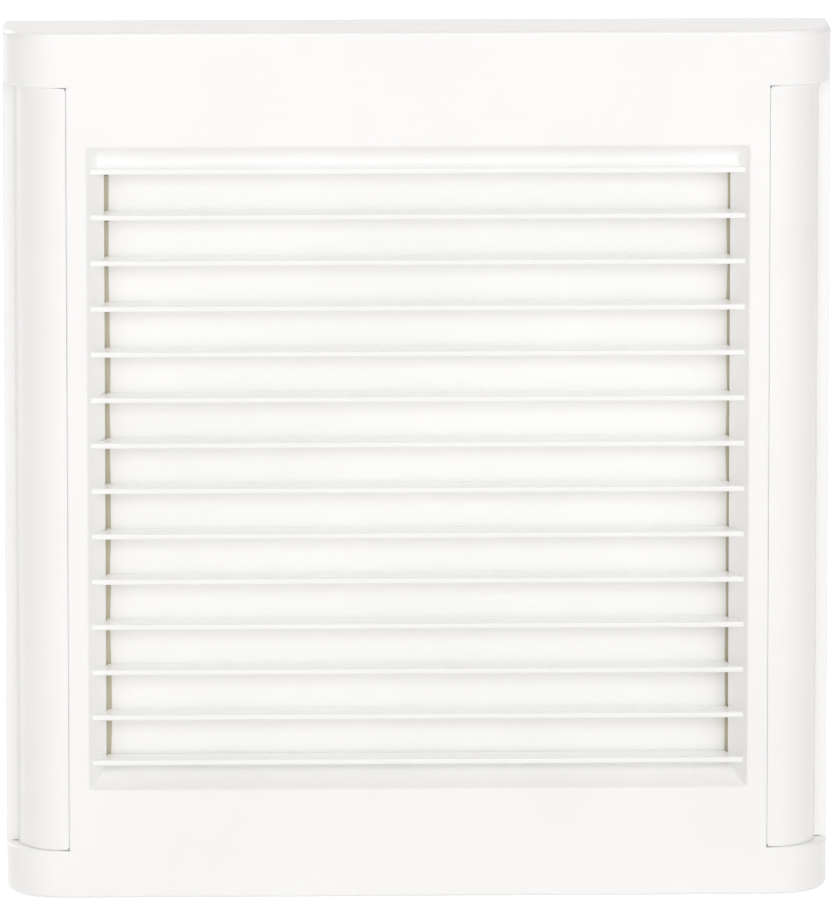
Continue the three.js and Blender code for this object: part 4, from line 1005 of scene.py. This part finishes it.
def rear_guard():
    """The guard: its rim, the bars that one tree sweeps, and the dished boss in the middle."""
    low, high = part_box("rear_guard")
    section = ring_section(DUCT_R - 2.5 * MM, high.x, low.y, high.y)
    rim = spun("rear_guard_rim", rounded(section, [0.2 * MM, 0.3 * MM, 1.2 * MM, 1.0 * MM]), 144)
    combine(rim, cut=[rod("hole", GUARD_HOLE_R, low.y - PAST, high.y + PAST, *on_circle(GUARD_BOLT_R, k), 24)
                      for k in range(4)])
    soft, dish = 0.9 * MM, 0.5 * MM
    profile = [(0.0, low.y), (GUARD_HUB_R, low.y)]
    profile += arc(GUARD_HUB_R - soft, high.y - soft, soft, 0, 90, 4)
    profile += [(6 * MM, high.y), (5 * MM, high.y - dish), (0.0, high.y - dish)]
    hub = spun("rear_guard_hub", profile, 64)
    bars = mesh_object("rear_guard.001", bpy.data.meshes.new("rear_guard_bars"))
    grow(bars, GUARD, CASE_ABS, ring_count=5, rib_count=8, hub_radius=GUARD_HUB_R - 0.5 * MM,
         rim_radius=DUCT_R - 1 * MM, bar_width=2.6 * MM, bar_depth=2.9 * MM)
    moved(bars, 0, (low.y + high.y) / 2, 0)
    for piece in (bars, rim, hub):
        dress(smooth(piece), "case", "case_plastic", CASE_ABS)
    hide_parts("rear_guard")


# ---- motor ----
def bell(name, inner_sign):
    """A die-cast end bell with a rounded shoulder, cooling slots and a bearing seat."""
    low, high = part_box(name)
    closed, opened = (high.y, low.y) if inner_sign > 0 else (low.y, high.y)
    way = 1 if closed > opened else -1
    r, t, seat, seat_l = high.x, 1.8 * MM, 8.3 * MM, 4 * MM
    outline = [(seat, closed), (r, closed), (r, opened), (r - t, opened), (r - t, closed - way * t),
               (seat + t, closed - way * t), (seat + t, closed - way * seat_l), (seat, closed - way * seat_l)]
    soft = [edge * MM for edge in (0.5, 3.0, 0.2, 0.2, 1.4, 0.8, 0.3, 0.3)]
    body = spun(name + "_cast", rounded(outline, soft, 5), 96)
    cutters = []
    for k in range(12):
        at_a_bolt = abs(math.cos(2 * TAU * (k + 0.5) / 12)) < 0.4
        if not at_a_bolt:
            slot = slab("slot", 17 * MM, 26.5 * MM, closed - 3 * MM, closed + 3 * MM, -2 * MM, 2 * MM,
                        1.9 * MM)
            cutters.append(turned(slot, k, 12, 0.5))
    if inner_sign > 0:
        for k in range(4):
            x, z = on_circle(MOTOR_BOLT_R, k, shift=0.5)
            cutters.append(rod("hole", SCREW_HOLE_R, closed - 3 * MM, closed + PAST, x, z, 20))
    combine(body, cut=cutters)
    dress(smooth(body), "case", "cast_bell", CAST, name)


def stator():
    """The stack: a ring of steel sheets, each with its own edge, repeated along the axis."""
    low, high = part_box("stator_core")
    count, slit, inset = 14, 0.12 * MM, 0.3 * MM
    step = (high.y - low.y) / count
    section = ring_section(STATOR_BORE_R, high.x, low.y, low.y + step - slit)
    sheet = spun("stator_core_sheets", rounded(section, [0.1 * MM] * 4, 1), 96)
    grow(sheet, ROW, SHEETS, count=count, step=(0, step, 0))
    core = spun("stator_core_bond", ring_section(STATOR_BORE_R + inset, high.x - inset, low.y + 0.2 * MM,
                                                 high.y - inset), 96)
    dress(smooth(sheet), "case", "core_steel", SHEETS, "stator_core")
    dress(smooth(core), "case", "core_steel", SHEETS)


def winding(name, seed):
    """A ring of enamelled wire on a plain bed, set back in the middle of its node once it is wound."""
    low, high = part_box(name)
    edge = 0.6 * MM
    section = ring_section(*WINDING_R, low.y + edge, high.y - edge)
    body = moved(spun(name + "_bed", rounded(section, [1.2 * MM] * 4), 96), 0, -low.y, 0)
    grow(body, COIL, COPPER, turns=90, inner_radius=WINDING_R[0], outer_radius=WINDING_R[1],
         depth=high.y - low.y - 2 * WIRE_R - edge, wire=WIRE_R, seed=seed)
    middle = sum(v.co.y for v in body.data.vertices) / len(body.data.vertices)
    moved(body, 0, (low.y + high.y) / 2 - middle, 0)
    dress(smooth(body, 50), "case", "winding_wire", COPPER, name)


# ---- impeller ----
def blade_point(along, across, side):
    """A point of a blade: along it from root to tip, across it from edge to edge, and on which face."""
    r, chord, pitch = (start + (end - start) * along for start, end in
                       ((BLADE_ROOT_R, BLADE_TIP_R), BLADE_CHORD_MM, BLADE_PITCH))
    chord, pitch = chord * MM * (1 - BLADE_NARROWING * along ** 4), math.radians(pitch)
    from_middle = -math.cos(math.pi * across)
    at_tip = max(along - TIP_START, 0) / (1 - TIP_START)
    thickness = BLADE_T * (1 - BLADE_THINNING * from_middle ** 2) * math.sqrt(max(1 - from_middle ** 8, 0))
    rise = BLADE_RISE * (1 - from_middle ** 2) + side * thickness
    run = from_middle / 2 * chord * (1 - TIP_CORNER * at_tip ** 3 * from_middle ** 2)
    swing = (run * math.cos(pitch) - rise * math.sin(pitch)) / r
    return r * math.cos(swing), BLADE_Y + run * math.sin(pitch) + rise * math.cos(pitch), r * math.sin(swing)


def blade():
    """One twisted, dished blade with thin rounded edges, as a closed skin."""
    across, along = 20, 18
    shape = bmesh.new()
    upper, lower = [[[shape.verts.new(blade_point(i / along, j / across, side)) for j in range(across + 1)]
                     for i in range(along + 1)] for side in (0.5, -0.5)]
    for i in range(along):
        for j in range(across):
            shape.faces.new((upper[i][j], upper[i + 1][j], upper[i + 1][j + 1], upper[i][j + 1]))
            shape.faces.new((lower[i][j], lower[i][j + 1], lower[i + 1][j + 1], lower[i + 1][j]))
    for j in range(across):
        for i in (0, along):
            shape.faces.new((upper[i][j], upper[i][j + 1], lower[i][j + 1], lower[i][j]))
    for i in range(along):
        for j in (0, across):
            corners = (upper[i][j], lower[i][j], lower[i + 1][j], upper[i + 1][j])
            if len({tuple(v.co) for v in corners}) > 2:
                shape.faces.new(corners)
    return from_bmesh("impeller_blades", shape)


def impeller():
    """Five blades on a domed hub with a boss for the shaft."""
    bore, boss, dome = 4.3 * MM, 8.5 * MM, 3 * MM
    floor_y = HUB_WEB - 0.4 * MM
    outline = [(bore, HUB_START), (boss, HUB_START), (boss, floor_y), (HUB_R - WALL, floor_y),
               (HUB_R - WALL, HUB_START), (HUB_R, HUB_START), (HUB_R, HUB_END - dome),
               (HUB_R - dome, HUB_END), (bore, HUB_END)]
    soft = [edge * MM for edge in (0.3, 0.5, 1, 1, 0.5, 0.5, 3, 3, 0.3)]
    hub = spun("impeller_hub", rounded(outline, soft, 6), 96)
    blades = grow(blade(), CIRCLE, IMPELLER_PP, count=BLADE_COUNT, first_angle=0.0)
    dress(smooth(hub), "fan_rotor", "impeller_plastic", IMPELLER_PP, "impeller")
    dress(smooth(blades, 60), "fan_rotor", "impeller_plastic", IMPELLER_PP)


# ---- screws ----
def pan_head():
    """A pan-head screw along +Y with a cross recess, its seat at the origin."""
    top = -SCREW_HEAD_T
    profile = [(0.0, top), (1.6 * MM, top + 0.05 * MM), (2.7 * MM, top + 0.35 * MM),
               (3.35 * MM, top + 0.95 * MM), (SCREW_HEAD_R, -0.4 * MM), (SCREW_HEAD_R - 0.15 * MM, 0),
               (SCREW_R, 0), (SCREW_R, 6 * MM), (SCREW_R - 0.5 * MM, 6.6 * MM), (0.0, 6.6 * MM)]
    arms = [slab("arm", -width, width, top - PAST, top + 1.3 * MM, -reach, reach, 0.1 * MM)
            for width, reach in ((0.45 * MM, 1.9 * MM), (1.9 * MM, 0.45 * MM))]
    return smooth(combine(spun("screw_master", profile, 20), cut=arms))


def screws():
    """All twenty screws on one master, each with its cross at its own angle."""
    master = pan_head()
    spots, turns, names = [], [], []
    draw = random.Random(7)
    head_l = 2.3 * MM
    for kind, outdoors in (("frame", 0), ("tie", 0), ("bracket", 0), ("guard", 1), ("motor", 1)):
        for k in range(1, 5):
            names.append(f"{kind}_screw_{k}")
            low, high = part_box(names[-1])
            seat = high.y - head_l if outdoors else low.y + head_l
            spots.append(((low.x + high.x) / 2, seat, (low.z + high.z) / 2))
            turns.append((0.0, draw.uniform(0, math.pi), math.pi * outdoors))
    mesh = bpy.data.meshes.new("screws")
    mesh.from_pydata(spots, [], [])
    turn = mesh.attributes.new("turn", "FLOAT_VECTOR", "POINT")
    turn.data.foreach_set("vector", [value for one in turns for value in one])
    piece = mesh_object("pan_head_screws", mesh)
    grow(piece, PLACES, ZINC, screw=master)
    bpy.data.objects.remove(master)
    dress(smooth(piece), "case", "zinc_screw", ZINC, *names)


front_cover()
cover_bars()
inner_housing()
flaps()
shutter_frame()
plain("shutter_link", 0.3, "link_bar", "frame_plastic", SHADE_TAN_PP)
gasket("inner_gasket")
gasket("outer_gasket")
outer_housing()
rear_guard()
bell("motor_front_bell", -1)
bell("motor_rear_bell", 1)
stator()
winding("winding_front", 11)
winding("winding_rear", 23)
impeller()
screws()
plain("motor_bracket", 0.6, "case", "bracket_steel", COATED)
plain("motor_rotor", 0.3, "fan_rotor", "core_steel", SHEETS)
plain("motor_shaft", 0.3, "fan_rotor", "shaft_steel", GROUND)
plain("impeller_nut", 0.4, "fan_rotor", "black_plastic", BLACK_PA)
plain("front_bearing", 0.3, "case", "shaft_steel", GROUND)
plain("rear_bearing", 0.3, "case", "shaft_steel", GROUND)
plain("terminal_block", 0.4, "case", "black_plastic", BLACK_PA)
plain("terminal_cover", 0.3, "case", "frame_plastic", SHADE_TAN_PP)
plain("capacitor", 0.8, "case", "black_plastic", BLACK_PA)
plain("capacitor_clip", 0.25, "case", "zinc_screw", ZINC)
plain("cable_gland", 0.3, "case", "black_plastic", BLACK_PA)
plain("motor_lead", 0, "case", "lead_jacket", PVC)


# ---- floor, light and camera ----
def shown_rays(tree):
    """Two sockets: 1 for rays that show the background (seen, mirrored or through glass), 1 for mirrored."""
    ray = node(tree, "ShaderNodeLightPath").outputs
    mirrored = ray["Is Glossy Ray"]
    plainly = node(tree, "ShaderNodeMath", {0: ray["Is Camera Ray"], 1: mirrored}, operation="MAXIMUM")
    shown = node(tree, "ShaderNodeMath", {0: plainly.outputs[0], 1: ray["Is Transmission Ray"]},
                 operation="MAXIMUM")
    return shown.outputs[0], mirrored


def floor():
    shape = bmesh.new()
    bmesh.ops.create_grid(shape, x_segments=1, y_segments=1, size=4)
    bmesh.ops.translate(shape, verts=shape.verts, vec=(0, 0, CASE_BOTTOM - 0.5 * MM))
    made = from_bmesh("floor", shape)
    paint = bpy.data.materials.new("pale_matt_paper_floor")
    paint.use_nodes = True
    tree = paint.node_tree
    tree.nodes.clear()
    shown, _ = shown_rays(tree)
    share = node(tree, "ShaderNodeMath", {0: shown, 1: 0.55}, operation="MULTIPLY")
    paper = node(tree, "ShaderNodeBsdfDiffuse", {"Color": linear("#fafafa")})
    glow = node(tree, "ShaderNodeEmission", {"Color": linear("#ffffff"), "Strength": share.outputs[0]})
    both = node(tree, "ShaderNodeAddShader", {0: paper.outputs[0], 1: glow.outputs[0]})
    node(tree, "ShaderNodeOutputMaterial", {"Surface": both.outputs[0]})
    made.data.materials.append(paint)


def world():
    """A white room whose sides are dimmer, so that round edges show against the white."""
    level, side_loss, mirror_loss = 0.825, 0.66, 0.7
    sky = bpy.data.worlds.new("studio")
    bpy.context.scene.world = sky
    sky.use_nodes = True
    tree = sky.node_tree
    tree.nodes.clear()
    shown, mirrored = shown_rays(tree)
    toward = node(tree, "ShaderNodeTexCoord").outputs["Generated"]
    across = node(tree, "ShaderNodeSeparateXYZ", {0: toward}).outputs["X"]
    aside = node(tree, "ShaderNodeMath", {0: across, 1: across}, operation="MULTIPLY")
    dim = node(tree, "ShaderNodeMath", {0: aside.outputs[0], 1: -side_loss, 2: level},
               operation="MULTIPLY_ADD")
    mirrored_aside = node(tree, "ShaderNodeMath", {0: aside.outputs[0], 1: mirrored}, operation="MULTIPLY")
    bright = node(tree, "ShaderNodeMath", {0: mirrored_aside.outputs[0], 1: -mirror_loss, 2: 1.0},
                  operation="MULTIPLY_ADD")
    soft = node(tree, "ShaderNodeBackground", {"Color": linear("#fffcfb"), "Strength": dim.outputs[0]})
    white = node(tree, "ShaderNodeBackground", {"Color": linear("#ffffff"), "Strength": bright.outputs[0]})
    mix = node(tree, "ShaderNodeMixShader", {0: shown, 1: soft.outputs[0], 2: white.outputs[0]})
    node(tree, "ShaderNodeOutputWorld", {"Surface": mix.outputs[0]})


def lamp(name, place, width, height, watts, colour):
    light = bpy.data.lights.new(name, "AREA")
    light.shape = "RECTANGLE"
    light.size = width
    light.size_y = height
    light.energy = watts
    light.color = linear(colour)[:3]
    aimed(name, light, Vector(place), Vector((0, 0, 0)))


def aimed(name, data, eye, aim):
    """Puts a lamp or a camera at a place, turned towards another."""
    made = bpy.data.objects.new(name, data)
    made.location = eye
    made.rotation_euler = (aim - eye).to_track_quat("-Z", "Y").to_euler()
    bpy.context.scene.collection.objects.link(made)
    return made


def camera():
    """The photograph's view: from far off, a little above and to the left, filling the frame's width."""
    distance, elevation, azimuth = 4.0, math.radians(9.4), math.radians(-1.6)
    framed_width, sensor = 0.3258, 36
    aim = Vector((-0.85 * MM, FRONT, 3.9 * MM))
    flat = distance * math.cos(elevation)
    eye = aim + Vector((flat * math.sin(azimuth), -flat * math.cos(azimuth), distance * math.sin(elevation)))
    lens = bpy.data.cameras.new("camera")
    lens.lens = sensor * distance / framed_width
    lens.sensor_width = sensor
    lens.clip_start = 0.01
    bpy.context.scene.camera = aimed("camera", lens, eye, aim)


bpy.context.scene.view_settings.view_transform = "Standard"
# White plastic hands light on many times between the bars.
bpy.context.scene.cycles.diffuse_bounces = 12
floor()
world()
lamp("front_softbox", (0.35, -2.5, 0.7), 3.0, 1.2, 20.5, "#fbfdff")
lamp("back_softbox", (-2.0, 2.0, 1.1), 2.0, 1.4, 22, "#ffffff")
camera()
